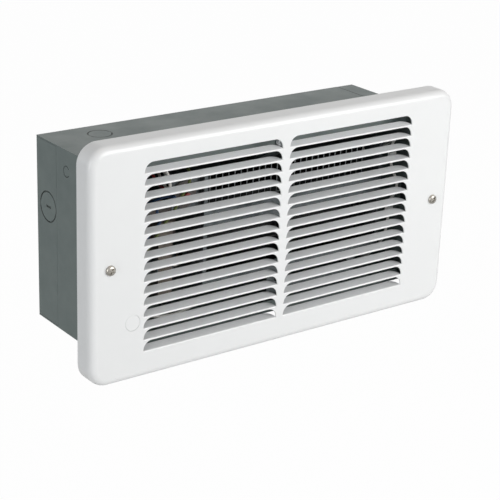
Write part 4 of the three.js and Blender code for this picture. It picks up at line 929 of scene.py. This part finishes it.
def wiring():
    """The seven leads, of which the ground lead is striped."""
    lead("lead_red", RED_PVC, "red_plastic")
    lead("lead_blue", BLUE_PVC, "blue_insulation")
    ground = lead("lead_ground", GREEN_PVC, "green_insulation")
    ground.data.materials.append(YELLOW_PVC)
    for face in ground.data.polygons:
        face.material_index = int(face.index % LEAD_SIDES in STRIPE)
    for node in ("lead_white", "lead_element", "lead_link", "lead_return"):
        lead(node, WHITE_PVC, "white_insulation")


# ---------------------------------------------------------------- making


louvred_cover()
hole_plug()
screws()
sheets()
guard()
element()
wheel()
motor()
limit()
nuts()
wiring()

# CAD nodes that show as they are, and their finishes
CARRIED = {
    "motor_screw_front": NICKEL,
    "motor_screw_rear": NICKEL,
    "motor_spacer_front": NICKEL,
    "motor_spacer_rear": NICKEL,
    "motor_shaft": NICKEL,
    "wheel_pin": NICKEL,
    "motor_rotor": LAMINATIONS,
    "bearing_outer": BRONZE,
    "bearing_inner": BRONZE,
    "wheel_bearing": BRONZE,
    "bearing_grommet": RUBBER,
    "element_bushing_front": CERAMIC,
    "element_bushing_rear": CERAMIC,
}
for carried, look in CARRIED.items():
    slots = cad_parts[carried].data.materials
    slots.clear()
    slots.append(look)


# ---------------------------------------------------------------- studio


def plain(name, colour, seen_white):
    """A pale studio surface that the camera sees, by its share, as plain white."""
    made = bpy.data.materials.new(name)
    made.use_nodes = True
    tree = made.node_tree
    tree.nodes.clear()
    matt = add(tree, "ShaderNodeBsdfDiffuse", {"Color": linear(colour)})
    white = add(tree, "ShaderNodeEmission", {"Color": (1, 1, 1, 1), "Strength": 1})
    path = add(tree, "ShaderNodeLightPath")
    rays = {0: path.outputs["Is Camera Ray"]}
    seen = add(tree, "ShaderNodeMath", {1: seen_white}, rays, operation="MULTIPLY")
    shaders = {0: seen.outputs[0], 1: matt.outputs[0], 2: white.outputs[0]}
    mixed = add(tree, "ShaderNodeMixShader", links=shaders)
    add(tree, "ShaderNodeOutputMaterial", links={"Surface": mixed.outputs[0]})
    return made


def studio():
    """The floor, and a sky that lights dimly but shows white to the camera and in reflections."""
    bpy.ops.object.select_all(action="DESELECT")
    bpy.ops.mesh.primitive_plane_add(size=PAPER["size"], location=PAPER["at"])
    floor = settled("studio_floor")
    floor.data.materials.append(plain("studio_paper", PAPER["colour"], PAPER["seen_white"]))
    world = bpy.data.worlds.new("studio")
    bpy.context.scene.world = world
    world.use_nodes = True
    tree = world.node_tree
    tree.nodes.clear()
    path = add(tree, "ShaderNodeLightPath")
    glossy = {0: path.outputs["Is Camera Ray"], 1: path.outputs["Is Glossy Ray"]}
    first = add(tree, "ShaderNodeMath", links=glossy, operation="ADD")
    clear = {0: first.outputs[0], 1: path.outputs["Is Transmission Ray"]}
    shown = add(tree, "ShaderNodeMath", links=clear, operation="ADD", use_clamp=True)
    sky = {"Color": linear(SKY["colour"]), "Strength": SKY["strength"]}
    dim = add(tree, "ShaderNodeBackground", sky)
    white = add(tree, "ShaderNodeBackground", {"Color": (1, 1, 1, 1), "Strength": 1})
    shaders = {0: shown.outputs[0], 1: dim.outputs[0], 2: white.outputs[0]}
    mixed = add(tree, "ShaderNodeMixShader", links=shaders)
    add(tree, "ShaderNodeOutputWorld", links={"Surface": mixed.outputs[0]})


def softbox(name, at, size, power, colour):
    """A rectangular lamp that looks at the heater."""
    lamp = bpy.data.lights.new(name, "AREA")
    lamp.shape = "RECTANGLE"
    lamp.size, lamp.size_y = size
    lamp.energy = power
    lamp.color = linear(colour)[:3]
    holder = bpy.data.objects.new(name, lamp)
    bpy.context.scene.collection.objects.link(holder)
    holder.location = at
    holder.rotation_euler = (Vector(LAMP_AIM) - Vector(at)).to_track_quat("-Z", "Y").to_euler()


def camera():
    """The photograph's camera."""
    lens = bpy.data.cameras.new("photo_camera")
    lens.lens = CAMERA_LENS
    lens.sensor_width = CAMERA_SENSOR
    holder = bpy.data.objects.new("photo_camera", lens)
    bpy.context.scene.collection.objects.link(holder)
    turn = Matrix.Rotation(math.radians(CAMERA_TURN), 4, "Z")
    tilt = Matrix.Rotation(math.radians(CAMERA_TILT), 4, "X")
    roll = Matrix.Rotation(math.radians(CAMERA_ROLL), 4, "Z")
    holder.matrix_world = moved(*CAMERA_AT) @ turn @ tilt @ roll
    bpy.context.scene.camera = holder


studio()
for box, settings in LAMPS.items():
    softbox(box, **settings)
camera()
bpy.context.scene.view_settings.view_transform = "Standard"

bpy.context.view_layer.update()
